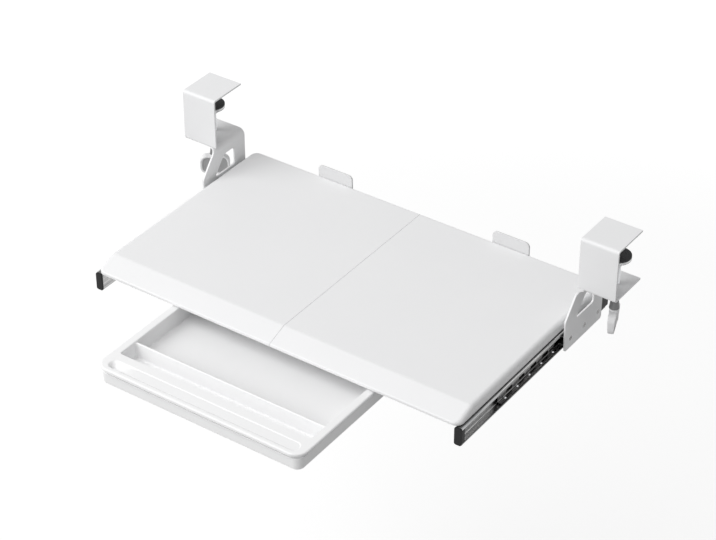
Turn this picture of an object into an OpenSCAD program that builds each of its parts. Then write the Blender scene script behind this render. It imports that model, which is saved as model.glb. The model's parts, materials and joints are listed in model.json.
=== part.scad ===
// Clamp-on keyboard tray with ball slides and a pen drawer, shown drawn out for use.
// Units are millimetres. X runs to the right, Y to the back and Z up.
// The tray's flat top lies at Z = 0, its middle seam at X = 0, and the front plates
// of the two clamps stand at Y = 0.

/* [Tray] */
// Width over both halves of the tray
tray_w = 496; // [460:2:640]
// Depth from the front lip to the rear edge
tray_d = 300; // [290:5:340]
// How far the front lip stands before the clamps' front plates
tray_reach = 231; // [225:1:240]
// Drop from the flat top to the lower edge of the rim
tray_rim = 13; // [12.5:0.5:16]
// Wall of the moulded halves
tray_wall = 3; // [2.5:0.25:3.5]
// Depth of the front edge that slopes down
nose_d = 27; // [18:1:34]
// Height of the upright face of the front lip
nose_lip = 4; // [1.5:0.5:5]
// Rounding of the top side edges
edge_r = 5; // [2:0.5:7]
// Rounding of the top rear edge
rear_r = 3; // [1:0.5:5]
// Corner radius of the tray seen from above
tray_corner = 10; // [4:1:24]
// Width of the seam between the halves
seam = 0.4; // [0.2:0.1:0.8]
// Height of the ribs and screw bosses under the top
rib_h = 5; // [3:0.5:5.5]
// Thickness of a rib
rib_t = 2; // [1.5:0.25:3]
// Radius of a screw boss
boss_r = 4; // [3:0.5:5]

/* [Keyboard stops] */
// Width of a stop
stop_w = 50; // [30:1:70]
// Height of a stop above the tray
stop_h = 15; // [8:1:20]
// Thickness of a stop
stop_t = 2.5; // [2:0.25:3]
// Distance of the middle of a stop from the seam
stop_x = 125; // [80:5:160]
// Corner radius of a stop
stop_r = 6; // [2:0.5:7]
// Diameter of the two pegs that hold a stop
peg_d = 4; // [3:0.25:5]
// Distance between the pegs of a stop
peg_pitch = 28; // [16:1:28]

/* [Slides] */
// Height of a slide channel
slide_h = 23; // [22:0.5:27]
// Gap between the tray's rim and a slide
slide_gap = 0.8; // [0.4:0.1:2]
// Width of a slide channel from web to lip
slide_w = 9.2; // [9:0.1:10.5]
// Sheet of the channels and the fixed rails
slide_sheet = 1.2; // [1:0.1:1.4]
// Distance of a channel's back from the tray's side edge
slide_inset = 6; // [5.5:0.25:8]
// How far a channel runs out behind the tray
slide_tail = 5; // [3:0.5:12]
// How far the tray slides back under the desk
tray_travel = 140; // [100:5:142]
// Ball diameter
ball_d = 3.6; // [3:0.1:3.8]
// Pitch of the balls and of the cage's windows
ball_pitch = 25; // [20:1:35]
// Sheet of the ball cages
cage_sheet = 0.8; // [0.6:0.1:1]
// How far a fixed rail starts before the clamps' front plates
rail_lead = 22; // [16:1:23]
// Length of a front cap's plug inside its channel
cap_plug = 6; // [4:0.5:8]
// Thickness of a front cap's head
cap_head = 2; // [1:0.5:3]
// Length of a rear stop inside its channel
bumper_len = 14; // [8:0.5:16]
// How far a rear stop stands out of its channel
bumper_out = 6; // [0:0.5:10]
// Sheet of the angle that hangs each channel under the tray
hanger_sheet = 2; // [1.5:0.25:2.25]
// Width of a hanger's flange under the tray
hanger_w = 26; // [20:1:34]

/* [Clamps] */
// Sheet of the clamps
clamp_sheet = 2.2; // [1.8:0.1:2.6]
// Width of a clamp
clamp_w = 47.6; // [44:0.2:60]
// Space between a channel's lip and the clamp's side plate
clamp_gap = 2; // [1.5:0.25:4]
// Height of a clamp's top above the tray
clamp_top = 101.5; // [95:0.5:110]
// Height of the ledge's upper face above the tray
ledge_z = 35.3; // [33:0.1:38]
// Depth of the top jaw
jaw_d = 53; // [46:1:60]
// Depth of the ledge and rear edge of the side plate
ledge_d = 57; // [55:1:60]
// Outer bend radius of the front corners
bend_r = 4; // [3:0.5:6]
// Outer bend radius between the ledge and the side plate
plate_bend = 8; // [5:0.5:10]
// How far the side plate reaches before the front plate
plate_reach = 26; // [25:0.5:30]
// Height of the foremost point of the side plate above the tray
plate_peak = 3; // [-5:0.5:10]
// Drop of the side plate below the tray's top
plate_drop = 38; // [38:0.5:42]
// Length of the window in the side plate
window_d = 40; // [30:1:40]
// Height of the window in the side plate
window_h = 24; // [16:1:25]
// Height of the window's lower edge above the tray
window_z = -4; // [-6:0.5:-2]
// Thickness of the rubber under the top jaw
jaw_pad_t = 1; // [0.8:0.1:2]
// Pitch of the screws that hold a fixed rail to its side plate
rail_screw_pitch = 30.5; // [24:0.5:31]

/* [Clamp screws] */
// Thickness of the board that the clamps hold at rest
grip = 24.3; // [15:0.1:32]
// Thread diameter of a clamp screw
thread_d = 8; // [6:1:8]
// Distance of a clamp screw from its side plate
screw_in = 29.8; // [28:0.2:32]
// Distance of a clamp screw behind the front plate
screw_y = 34; // [28:0.5:38]
// Diameter of a pressure pad
pad_d = 30; // [24:1:36]
// Length of a clamp screw from its pad's face to its knob
screw_len = 73; // [70:0.5:80]
// Width across a knob's wings
knob_w = 37; // [32:1:44]
// Height of a knob
knob_h = 28; // [26:1:36]
// Thickness of a knob at its top
knob_t = 9.5; // [8:0.5:13]
// Thickness of a knob at its foot
knob_foot = 6.6; // [6.2:0.2:7.8]
// How far the left knob is turned
left_knob_turn = -35; // [-90:1:90]
// How far the right knob is turned
right_knob_turn = -70; // [-90:1:90]

/* [Drawer] */
// Width over the drawer's rim
drawer_w = 278; // [240:1:300]
// Length of the drawer
drawer_len = 235; // [220:1:240]
// Height of the drawer
drawer_h = 23; // [18:0.5:28]
// Floor of the drawer
drawer_floor = 2.5; // [2:0.25:4]
// Width of the drawer's walls
drawer_wall = 6.5; // [4:0.5:8]
// How far the rim overhangs the walls
drawer_rim = 3.5; // [3:0.25:6]
// Thickness of the rim
drawer_rim_t = 3; // [2.5:0.25:5]
// Space between the tray's rim and the drawer
drawer_gap = 2; // [1:0.25:3]
// How far the drawer's front stands before the tray's lip
drawer_pull = 133; // [100:1:140]
// How far the drawer slides in
drawer_travel = 130; // [90:1:130]
// Radius of the drawer's front corners
drawer_corner = 25; // [15:1:30]
// Depth of the front ledge
front_ledge = 32; // [28:1:45]
// Depth of the pen bay
pen_bay = 26; // [20:1:34]
// Thickness of the wall between the bays
divider_t = 3; // [2.5:0.25:5]
// Distance of the finger groove's ends from the drawer's sides
groove_side = 10; // [9:1:70]
// Width of the finger groove
groove_w = 16; // [10:0.5:18]
// Depth of the finger groove
groove_t = 2; // [1.5:0.25:3.5]
// Sheet of the drawer's runners
runner_t = 2; // [1.5:0.25:2.5]
// Width of a runner's flange under the tray
runner_w = 20; // [16:1:24]

/* [Fasteners] */
// Diameter of the screws under the tray
screw_d = 3; // [2.5:0.1:3.5]
// Head height of the screws under the tray
head_t = 1.4; // [1:0.1:1.5]
// Thickness of the bars that join the halves
bar_t = 2; // [1.5:0.25:2.25]
// Width of a joint bar
bar_w = 24; // [16:1:30]
// Length of a joint bar
bar_len = 200; // [140:5:240]
// Radial clearance of parts that fit together at rest
fit = 0.05; // [0.02:0.01:0.1]
// Clearance of parts that run past each other
run = 0.3; // [0.2:0.05:0.5]

/* [Hidden] */
$fn = 48;
white = "whitesmoke";
zinc = "silver";
black = [0.12, 0.12, 0.13];
rubber = [0.2, 0.2, 0.21];
left = -1;
right = 1;
// How far a cut runs past the face that it leaves through
over = 1;

// Tray, worked out from front to back
tray_front = -tray_reach;
tray_rear = tray_front + tray_d;
nose_y = tray_front + nose_d;
nose_r = 1.5;
crease_r = 12;
// A wall measured upright through the slope is a little over its own thickness
nose_wall = 1.15 * tray_wall;
under = -tray_wall - rib_h;
rib_rows = 4;
rib_x = 190;
rib_tail = 30;
// Height of a stop's lower edge above the foot of the rim
stop_foot = 2.5;

// Slides, right-hand side
slide_x = tray_w / 2 - slide_inset;
slide_lip = slide_x + slide_w;
slide_z = -tray_rim - slide_gap - slide_h / 2;
slide_y0 = tray_front + cap_head;
slide_y1 = tray_rear + slide_tail;
cavity_h = slide_h / 2 - slide_sheet;
bead = 1;
bumper_y0 = slide_y1 - bumper_len;
end_gap = 1;
cage_slack = 5;
cage_y0 = slide_y0 + cap_plug + tray_travel / 2 + cage_slack;
cage_y1 = bumper_y0 - end_gap;
cage_u = 1.9;
cage_d = 5.7;
ball_play = 0.1;
ball_u = slide_x + cage_u + cage_d / 2 + cage_sheet / 4;
ball_w = cavity_h - ball_play - ball_d / 2;
ball_hole_play = 0.15;
ball_hole = ball_d / 2 + ball_hole_play;
ball_margin = 11.5;
ball_count = floor((cage_y1 - cage_y0 - 2 * ball_margin) / ball_pitch) + 1;
window_l = 12;
window_t = 5.5;
window_w = -4.7;
rail_half = ball_w - ball_d / 2 - ball_play;
rail_y0 = -rail_lead;
rail_y1 = bumper_y0 - end_gap;
rail_gap = 0.9;
rail_x = slide_x + cage_u + cage_sheet + rail_gap;
slot_l = 12;
slot_t = 4;
slot_pitch = 20;
slot_count = 2;
slot_lead = 4;

// Hangers under the tray that carry the channels
hanger_margin = 9;
hanger_y0 = nose_y + hanger_margin;
hanger_y1 = tray_rear - hanger_margin;
hanger_screw_x = slide_x - hanger_w / 2 - hanger_sheet;
hanger_inset = 16;
hanger_screws = 3;
channel_screws = 4;
channel_screw_tip = 2;

// Clamp, right-hand side
plate_x = slide_lip + clamp_gap;
clamp_x1 = plate_x + clamp_w;
jaw_z = clamp_top - clamp_sheet - jaw_pad_t;
ledge_under = ledge_z - clamp_sheet;
plate_slope = 2.5;
plate_chamfer = 2;
plate_nose_r = 6;
plate_foot_r = 2;
plate_heel_r = 1;
window_back = 20.5;
window_rear = ledge_d - window_back;
window_lean = window_h * plate_reach / (ledge_z - plate_peak);
window_corners = [2, 4, 6, 8];
rail_screw_r = 2;
rail_screw_head = 3.2;
rail_screw_len = 5.5;
rail_screw_y0 = -12;
rail_screw_count = 3;
pad_margin = 4;
screw_hole_play = 0.5;

// Clamp screw, seen from its pad's face downwards
screw_x = plate_x + screw_in;
face_z = jaw_z - grip;
facing_t = 2.5;
disc_t = 4;
hub_h = 6.5;
hub_r = 7;
journal_r = 3;
disc_z = face_z - facing_t - disc_t;
hub_z = disc_z - hub_h;
shoulder_z = hub_z - run;
nut_h = 6.5;
nut_flats = 13;
collar_h = 10;
collar_top_r = 5;
collar_foot_r = 6.5;
knob_z = face_z - screw_len;
knob_corner = 9;
knob_top_gap = 2;
knob_rim = 2.4;
knob_web = 5.2;
knob_hub_r = 5.6;
knob_hub_h = 24;
knob_hub_straight = 16;
screw_grip = 15;

// Drawer, from front to back
drawer_top = -tray_rim - drawer_gap;
drawer_floor_z = drawer_top - drawer_h;
drawer_front = tray_front - drawer_pull;
drawer_rear = drawer_front + drawer_len;
drawer_body_w = drawer_w - 2 * drawer_rim;
front_overhang = 2;
rear_corner = 5;
bay_corner = 2.5;
pen_y0 = drawer_front + front_ledge;
pen_y1 = pen_y0 + pen_bay;
main_y0 = pen_y1 + divider_t;
main_y1 = drawer_rear - drawer_wall;
bay_w = drawer_body_w - 2 * drawer_wall;
divider_drop = 2;
groove_shift = 4;
groove_y = drawer_front + (front_ledge + front_overhang) / 2 - groove_shift;
ledge_shell = 3;

// Drawer runners under the tray, right-hand side
runner_gap = 0.6;
runner_lead = 7;
runner_tail = 4;
runner_x = drawer_w / 2 + runner_gap;
runner_lip_z = drawer_top - drawer_rim_t - run;
runner_foot = runner_lip_z - runner_t;
runner_lip_w = drawer_rim - runner_gap;
runner_y0 = tray_front + runner_lead;
runner_y1 = drawer_rear + drawer_travel + runner_tail;
runner_screw_x = runner_x + runner_t + runner_w / 2;
runner_screws = 3;
runner_inset = 14;

// Bars across the seam
bar_inset = 60;
bar_rows = [nose_y + bar_inset, tray_rear - bar_inset];
bar_screw_in = 20;
bar_screw_out = 15;
bar_screw_x = [bar_screw_in, bar_len / 2 - bar_screw_out];
screw_r = screw_d / 2;
head_r = screw_d;
screw_tip = 1;
boss_sink = 0.8;
boss_depth = rib_h + boss_sink;
screw_bite = boss_depth - screw_tip;

// Points of a corner at b, rounded with radius r between the neighbours a and c
function unit(v) = v / norm(v);
function corner(a, b, c, r, steps = 8) =
    let (
        u = unit(a - b),
        v = unit(c - b),
        half = acos(u * v) / 2,
        mid = b + unit(u + v) * r / sin(half),
        from = b + u * r / tan(half) - mid,
        to = b + v * r / tan(half) - mid,
        start = atan2(from[1], from[0]),
        turn = atan2(cross(from, to), from * to)
    )
    r == 0
        ? [b]
        : [for (i = [0 : steps]) let (angle = start + turn * i / steps) mid + r * [cos(angle), sin(angle)]];

// An outline whose corners p are rounded with the radii r
function rounded(p, r) =
    let (n = len(p))
    [for (i = [0 : n - 1]) each corner(p[(i + n - 1) % n], p[i], p[(i + 1) % n], r[i])];

// Evenly spaced places from a to b
function spread(a, b, count) = [for (i = [0 : count - 1]) a + (b - a) * i / (count - 1)];

// Mirrors a right-hand piece to its side
module on_side(side) {
    mirror([side < 0 ? 1 : 0, 0, 0])
        children();
}

// Extrudes an outline of Y and Z along X
module along_x(x0, x1) {
    translate([x0, 0, 0])
        rotate([90, 0, 90])
            linear_extrude(x1 - x0)
                children();
}

// Extrudes an outline of X and Z along Y
module along_y(y0, y1) {
    translate([0, y1, 0])
        rotate([90, 0, 0])
            linear_extrude(y1 - y0)
                children();
}

// Extrudes an outline of X and Y along Z
module along_z(z0, z1) {
    translate([0, 0, z0])
        linear_extrude(z1 - z0)
            children();
}

// A box between two corners
module block(low, high) {
    translate(low)
        cube(high - low);
}

// A pan-head screw driven upwards, its head's bearing face at the point given
module pan_screw(p, bite) {
    translate(p)
        cylinder(r = screw_r, h = bite);
    translate(p - [0, 0, head_t])
        cylinder(r = head_r, h = head_t);
}

// Places of the screws in one half of the tray
function bar_points(y) = [for (x = bar_screw_x) [x, y]];
function hanger_points() =
    [for (y = spread(hanger_y0 + hanger_inset, hanger_y1 - hanger_inset, hanger_screws)) [hanger_screw_x, y]];
function runner_points() =
    [for (y = spread(nose_y + runner_inset, runner_y1 - runner_inset, runner_screws)) [runner_screw_x, y]];
function boss_points() =
    concat(bar_points(bar_rows[0]), bar_points(bar_rows[1]), hanger_points(), runner_points());

// Tray

// The front edge slopes down from the flat top to the lip
function nose_line() = [[tray_front, nose_lip - tray_rim], [nose_y, 0]];

// Section of the tray from front to back
module tray_section() {
    polygon(rounded(
        concat([[tray_rear, -tray_rim], [tray_front, -tray_rim]], nose_line(), [[tray_rear, 0]]),
        [0, 0, nose_r, crease_r, rear_r]
    ));
}

module tray_hollow_section() {
    inner_rear = tray_rear - tray_wall;
    floor_z = -tray_rim - tray_wall;
    inner_nose = [for (p = nose_line()) p + [tray_wall / 2, -nose_wall]];
    foot = [[inner_rear, floor_z], [inner_nose[0][0], floor_z]];
    polygon(concat(foot, inner_nose, [[inner_rear, -nose_wall]]));
}

module tray_plan(x0, inset) {
    x1 = tray_w / 2 - inset;
    y0 = tray_front + inset;
    y1 = tray_rear - inset;
    r = tray_corner - inset;
    polygon(rounded([[x0, y0], [x1, y0], [x1, y1], [x0, y1]], [0, r, r, 0]));
}

module tray_shell() {
    x0 = seam / 2;
    x1 = tray_w / 2;
    difference() {
        intersection() {
            along_x(x0, x1)
                tray_section();
            along_z(-tray_rim, 0)
                tray_plan(x0, 0);
            along_y(tray_front, tray_rear)
                polygon(rounded([[x0, -tray_rim], [x1, -tray_rim], [x1, 0], [x0, 0]], [0, 0, edge_r, 0]));
        }
        intersection() {
            along_x(x0 - over, x1 - tray_wall)
                tray_hollow_section();
            along_z(-2 * tray_rim, -tray_wall)
                tray_plan(x0 - over, tray_wall);
        }
    }
}

module tray_ribs() {
    x0 = seam / 2;
    x1 = tray_w / 2 - tray_wall / 2;
    y0 = nose_y;
    y1 = tray_rear - tray_wall / 2;
    top = -tray_wall / 2;
    for (y = spread(y0, y1 - rib_tail, rib_rows))
        block([x0, y, under], [x1, y + rib_t, top]);
    for (x = [x0, rib_x])
        block([x, y0, under], [x + rib_t, y1, top]);
    for (p = boss_points())
        translate([p[0], p[1], under])
            cylinder(r = boss_r, h = top - under);
}

// The pegs of a stop, which pass through the tray's rear wall
module stop_pegs(grow) {
    for (s = [left, right])
        translate([stop_x + s * peg_pitch / 2, tray_rear + stop_t / 2, -tray_rim / 2])
            rotate([90, 0, 0])
                cylinder(d = peg_d + 2 * grow, h = stop_t / 2 + tray_wall);
}

module tray_half() {
    color(white)
        difference() {
            union() {
                tray_shell();
                tray_ribs();
            }
            stop_pegs(fit);
            for (p = boss_points())
                translate([p[0], p[1], under - over])
                    cylinder(r = screw_r + fit, h = boss_depth + over + fit);
        }
}

module keyboard_stop() {
    low = stop_foot - tray_rim;
    outline = [[-stop_w / 2, low], [stop_w / 2, low], [stop_w / 2, stop_h], [-stop_w / 2, stop_h]];
    color(white) {
        along_y(tray_rear, tray_rear + stop_t)
            translate([stop_x, 0])
                polygon(rounded(outline, [0, 0, stop_r, stop_r]));
        stop_pegs(0);
    }
}

// Bars that join the two halves

module joint_bar(y) {
    color(zinc)
        difference() {
            block([-bar_len / 2, y - bar_w / 2, under - bar_t], [bar_len / 2, y + bar_w / 2, under]);
            for (side = [left, right], p = bar_points(y))
                translate([side * p[0], p[1], under - bar_t - over])
                    cylinder(r = screw_r + fit, h = bar_t + 2 * over);
        }
}

module joint_screws(y) {
    color(zinc)
        for (side = [left, right], p = bar_points(y))
            pan_screw([side * p[0], p[1], under - bar_t], bar_t + screw_bite);
}

// Slides

module slide_cavity(gap) {
    deep = slide_w - bead;
    translate([slide_sheet + gap, -cavity_h + gap])
        square([deep - slide_sheet - 2 * gap, 2 * (cavity_h - gap)]);
    translate([slide_sheet + gap, -cavity_h + bead + gap])
        square([slide_w - slide_sheet - gap, 2 * (cavity_h - bead - gap)]);
}

// Extrudes a section of a right-hand slide, measured from its channel's back and mid-height
module slide_run(y0, y1) {
    along_y(y0, y1)
        translate([slide_x, slide_z])
            children();
}

function channel_screw_y() = spread(hanger_y0 + hanger_inset, hanger_y1 - hanger_inset, channel_screws);

function slot_y() = [for (i = [0 : slot_count - 1]) slide_y0 + cap_plug + slot_lead + i * slot_pitch];

module channel_screw_at(y, grow) {
    translate([slide_x, y, slide_z])
        rotate([0, 90, 0]) {
            translate([0, 0, -hanger_sheet - channel_screw_tip])
                cylinder(r = screw_r + grow, h = hanger_sheet + channel_screw_tip + slide_sheet);
            cylinder(r1 = screw_r + grow, r2 = screw_r + slide_sheet + grow, h = slide_sheet);
        }
}

module slide_channel() {
    color(zinc)
        difference() {
            slide_run(slide_y0, slide_y1)
                difference() {
                    translate([0, -slide_h / 2])
                        square([slide_w, slide_h]);
                    slide_cavity(0);
                    translate([slide_w - bead, -cavity_h + bead])
                        square([bead + over, 2 * (cavity_h - bead)]);
                }
            for (y = channel_screw_y())
                channel_screw_at(y, fit);
            for (y = slot_y())
                block(
                    [slide_x - over, y, slide_z - slot_t / 2],
                    [slide_x + slide_sheet + over, y + slot_l, slide_z + slot_t / 2]
                );
        }
}

module channel_fixings() {
    color(zinc)
        for (y = channel_screw_y())
            channel_screw_at(y, 0);
}

module front_cap() {
    color(black) {
        slide_run(tray_front, slide_y0)
            translate([0, -slide_h / 2])
                square([slide_w, slide_h]);
        slide_run(slide_y0, slide_y0 + cap_plug)
            slide_cavity(fit);
    }
}

module rear_bumper() {
    color(black)
        slide_run(bumper_y0, slide_y1 + bumper_out)
            slide_cavity(fit);
}

module slide_hanger() {
    foot = slide_z - slide_h / 2;
    color(white)
        difference() {
            union() {
                block([slide_x - hanger_sheet, hanger_y0, foot], [slide_x, hanger_y1, under]);
                block([slide_x - hanger_w, hanger_y0, under - hanger_sheet], [slide_x, hanger_y1, under]);
            }
            for (y = channel_screw_y())
                channel_screw_at(y, fit);
            for (p = hanger_points())
                translate([p[0], p[1], under - hanger_sheet - over])
                    cylinder(r = screw_r + fit, h = hanger_sheet + 2 * over);
        }
}

module hanger_fixings() {
    color(zinc)
        for (p = hanger_points())
            pan_screw([p[0], p[1], under - hanger_sheet], hanger_sheet + screw_bite);
}

function ball_y() = [for (i = [0 : ball_count - 1]) cage_y0 + ball_margin + i * ball_pitch];

// Each window lies midway between two balls
function window_y() = [for (i = [0 : ball_count - 2]) ball_y()[i] + ball_pitch / 2];

module ball_cage() {
    half = ball_w + cage_sheet / 2;
    color(zinc)
        difference() {
            slide_run(cage_y0, cage_y1)
                difference() {
                    translate([cage_u, -half])
                        square([cage_d, 2 * half]);
                    translate([cage_u + cage_sheet, -half + cage_sheet])
                        square([cage_d, 2 * (half - cage_sheet)]);
                }
            for (y = ball_y())
                translate([ball_u, y, slide_z - slide_h / 2])
                    cylinder(r = ball_hole, h = slide_h);
            for (y = window_y())
                block(
                    [slide_x + cage_u - over, y - window_l / 2, slide_z + window_w - window_t / 2],
                    [rail_x, y + window_l / 2, slide_z + window_w + window_t / 2]
                );
        }
}

module slide_balls() {
    color(zinc)
        for (y = ball_y(), s = [left, right])
            translate([ball_u, y, slide_z + s * ball_w])
                sphere(d = ball_d);
}

function rail_screw_y() = [for (i = [0 : rail_screw_count - 1]) rail_screw_y0 + i * rail_screw_pitch];

// A countersunk screw through the side plate into the web of the fixed rail
module rail_screw_at(y, grow) {
    cone = rail_screw_head - rail_screw_r;
    translate([plate_x + clamp_sheet, y, slide_z])
        rotate([0, -90, 0]) {
            cylinder(r = rail_screw_r + grow, h = rail_screw_len);
            cylinder(r1 = rail_screw_head + grow, r2 = rail_screw_r + grow, h = cone);
        }
}

module fixed_rail() {
    outer = plate_x - rail_x;
    color(zinc)
        difference() {
            along_y(rail_y0, rail_y1)
                translate([rail_x, slide_z])
                    difference() {
                        translate([0, -rail_half])
                            square([outer, 2 * rail_half]);
                        translate([-over, -rail_half + slide_sheet])
                            square([outer + over - slide_sheet, 2 * (rail_half - slide_sheet)]);
                    }
            for (y = rail_screw_y())
                rail_screw_at(y, fit);
        }
}

module rail_fixings() {
    color(zinc)
        for (y = rail_screw_y())
            rail_screw_at(y, 0);
}

// Clamps

// Jaw, front plate and ledge as one bent strip, seen from the side
module clamp_strip() {
    inner_r = bend_r - clamp_sheet;
    polygon(rounded(
        [
            [jaw_d, clamp_top], [0, clamp_top], [0, ledge_under], [ledge_d, ledge_under],
            [ledge_d, ledge_z], [clamp_sheet, ledge_z], [clamp_sheet, clamp_top - clamp_sheet],
            [jaw_d, clamp_top - clamp_sheet]
        ],
        [0, bend_r, bend_r, 0, 0, inner_r, inner_r, 0]
    ));
}

// The ledge turning down into the side plate, seen from the front
module plate_strip() {
    polygon(rounded(
        [
            [clamp_x1, ledge_z], [plate_x, ledge_z],
            [plate_x, -plate_drop], [plate_x + clamp_sheet, -plate_drop],
            [plate_x + clamp_sheet, ledge_under], [clamp_x1, ledge_under]
        ],
        [0, plate_bend, 0, 0, plate_bend - clamp_sheet, 0]
    ));
}

module plate_outline() {
    polygon(rounded(
        [
            [0, ledge_z], [-plate_reach, plate_peak], [plate_slope - plate_reach, -plate_drop],
            [ledge_d - plate_chamfer, -plate_drop], [ledge_d, plate_chamfer - plate_drop], [ledge_d, ledge_z]
        ],
        [0, plate_nose_r, plate_foot_r, plate_heel_r, plate_heel_r, 0]
    ));
}

module plate_window() {
    front = window_rear - window_d;
    top = window_z + window_h;
    polygon(rounded(
        [[front, window_z], [window_rear, window_z], [window_rear, top], [front + window_lean, top]],
        window_corners
    ));
}

module clamp() {
    bend_x = plate_x + plate_bend;
    color(white)
        difference() {
            union() {
                intersection() {
                    along_x(plate_x, clamp_x1)
                        clamp_strip();
                    union() {
                        block([plate_x, -over, ledge_z], [clamp_x1, ledge_d, clamp_top]);
                        block([bend_x, -over, ledge_under], [clamp_x1, ledge_d, clamp_top]);
                    }
                }
                intersection() {
                    along_y(-plate_reach, ledge_d)
                        plate_strip();
                    union() {
                        along_x(plate_x, bend_x)
                            plate_outline();
                        block([bend_x, clamp_sheet, ledge_under], [clamp_x1, ledge_d, ledge_z]);
                    }
                }
            }
            along_x(plate_x - over, plate_x + clamp_sheet + over)
                plate_window();
            translate([screw_x, screw_y, ledge_under - over])
                cylinder(r = thread_d / 2 + screw_hole_play, h = clamp_sheet + 2 * over);
            for (y = rail_screw_y())
                rail_screw_at(y, fit);
        }
}

module jaw_pad() {
    color(rubber)
        block(
            [plate_x + pad_margin, clamp_sheet + pad_margin, jaw_z],
            [clamp_x1 - pad_margin, jaw_d - pad_margin, jaw_z + jaw_pad_t]
        );
}

module clamp_nut() {
    color(zinc)
        translate([screw_x, screw_y, ledge_under - nut_h])
            difference() {
                cylinder(r = nut_flats / sqrt(3), h = nut_h, $fn = 6);
                translate([0, 0, -over])
                    cylinder(r = thread_d / 2 + fit, h = nut_h + 2 * over);
            }
}

// Clamp screws

module clamp_screw() {
    color(zinc)
        translate([screw_x, screw_y, 0]) {
            translate([0, 0, knob_z - screw_grip])
                cylinder(d = thread_d, h = shoulder_z - knob_z + screw_grip);
            translate([0, 0, shoulder_z - over])
                cylinder(r = journal_r, h = hub_h + over);
        }
}

module pressure_pad() {
    color(zinc)
        translate([screw_x, screw_y, 0])
            difference() {
                union() {
                    translate([0, 0, hub_z])
                        cylinder(r = hub_r, h = hub_h + over);
                    translate([0, 0, disc_z])
                        cylinder(d = pad_d, h = disc_t);
                }
                translate([0, 0, hub_z - over])
                    cylinder(r = journal_r + fit, h = hub_h + over);
            }
}

module pad_facing() {
    color(rubber)
        translate([screw_x, screw_y, face_z - facing_t])
            cylinder(d = pad_d, h = facing_t);
}

module knob_collar() {
    color(zinc)
        translate([screw_x, screw_y, knob_z])
            difference() {
                cylinder(r1 = collar_foot_r, r2 = collar_top_r, h = collar_h);
                translate([0, 0, -over])
                    cylinder(r = thread_d / 2 + fit, h = collar_h + 2 * over);
            }
}

module knob_outline(inset) {
    half = knob_w / 2 - inset;
    high = -knob_top_gap - inset;
    low = -knob_h + inset;
    r = knob_corner - inset;
    polygon(rounded([[-half, high], [half, high], [half, low], [-half, low]], [r, r, r, r]));
}

module knob_wedge() {
    polygon([
        [-knob_t / 2, 0], [knob_t / 2, 0], [knob_foot / 2, -knob_h], [-knob_foot / 2, -knob_h]
    ]);
}

module knob(turn) {
    color(white)
        translate([screw_x, screw_y, knob_z])
            rotate([0, 0, turn])
                difference() {
                    union() {
                        difference() {
                            intersection() {
                                along_y(-knob_t, knob_t)
                                    knob_outline(0);
                                along_x(-knob_w, knob_w)
                                    knob_wedge();
                            }
                            along_y(knob_web / 2, knob_t)
                                knob_outline(knob_rim);
                            along_y(-knob_t, -knob_web / 2)
                                knob_outline(knob_rim);
                        }
                        translate([0, 0, -knob_hub_straight])
                            cylinder(r = knob_hub_r, h = knob_hub_straight);
                        translate([0, 0, -knob_hub_h])
                            cylinder(r1 = knob_foot / 2, r2 = knob_hub_r, h = knob_hub_h - knob_hub_straight);
                    }
                    translate([0, 0, -screw_grip - fit])
                        cylinder(r = thread_d / 2 + fit, h = screw_grip + over);
                }
}

// Drawer

module drawer_plan(inset, corner_r) {
    half = drawer_w / 2 - inset;
    y0 = drawer_front + min(inset, front_overhang);
    polygon(rounded(
        [[-half, y0], [half, y0], [half, drawer_rear], [-half, drawer_rear]],
        [corner_r, corner_r, rear_corner, rear_corner]
    ));
}

module bay(y0, y1) {
    half = bay_w / 2;
    along_z(drawer_floor_z + drawer_floor, drawer_top + over)
        polygon(rounded(
            [[-half, y0], [half, y0], [half, y1], [-half, y1]],
            [bay_corner, bay_corner, bay_corner, bay_corner]
        ));
}

module drawer() {
    half = bay_w / 2;
    groove_half = (drawer_w - groove_w) / 2 - groove_side;
    ledge_y0 = drawer_front + front_overhang + drawer_wall;
    color(white)
        difference() {
            union() {
                along_z(drawer_floor_z, drawer_top)
                    drawer_plan(drawer_rim, drawer_corner - drawer_rim);
                along_z(drawer_top - drawer_rim_t, drawer_top)
                    drawer_plan(0, drawer_corner);
            }
            bay(pen_y0, pen_y1);
            bay(main_y0, main_y1);
            // The wall between the bays stands a little below the rim
            block(
                [-half + bay_corner, pen_y1 - over, drawer_top - divider_drop],
                [half - bay_corner, main_y0 + over, drawer_top + over]
            );
            // Finger groove with round ends
            along_z(drawer_top - groove_t, drawer_top + over) {
                for (s = [left, right])
                    translate([s * groove_half, groove_y])
                        circle(d = groove_w);
                translate([-groove_half, groove_y - groove_w / 2])
                    square([2 * groove_half, groove_w]);
            }
            // The ledge is hollow from below
            block(
                [-half + drawer_corner, ledge_y0, drawer_floor_z - over],
                [half - drawer_corner, pen_y0 - ledge_shell, drawer_top - groove_t - ledge_shell]
            );
        }
}

module drawer_runner() {
    color(white)
        difference() {
            union() {
                block([runner_x, nose_y, runner_foot], [runner_x + runner_t, runner_y1, under]);
                block(
                    [runner_x, nose_y, under - runner_t],
                    [runner_x + runner_t + runner_w, runner_y1, under]
                );
                // The front end stays below the tray's sloping edge
                block([runner_x, runner_y0, runner_foot], [runner_x + runner_t, nose_y, -tray_rim]);
                block(
                    [runner_x - runner_lip_w, runner_y0, runner_foot],
                    [runner_x + runner_t, runner_y1, runner_lip_z]
                );
            }
            for (p = runner_points())
                translate([p[0], p[1], under - runner_t - over])
                    cylinder(r = screw_r + fit, h = runner_t + 2 * over);
        }
}

module runner_fixings() {
    color(zinc)
        for (p = runner_points())
            pan_screw([p[0], p[1], under - runner_t], runner_t + screw_bite);
}

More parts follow.
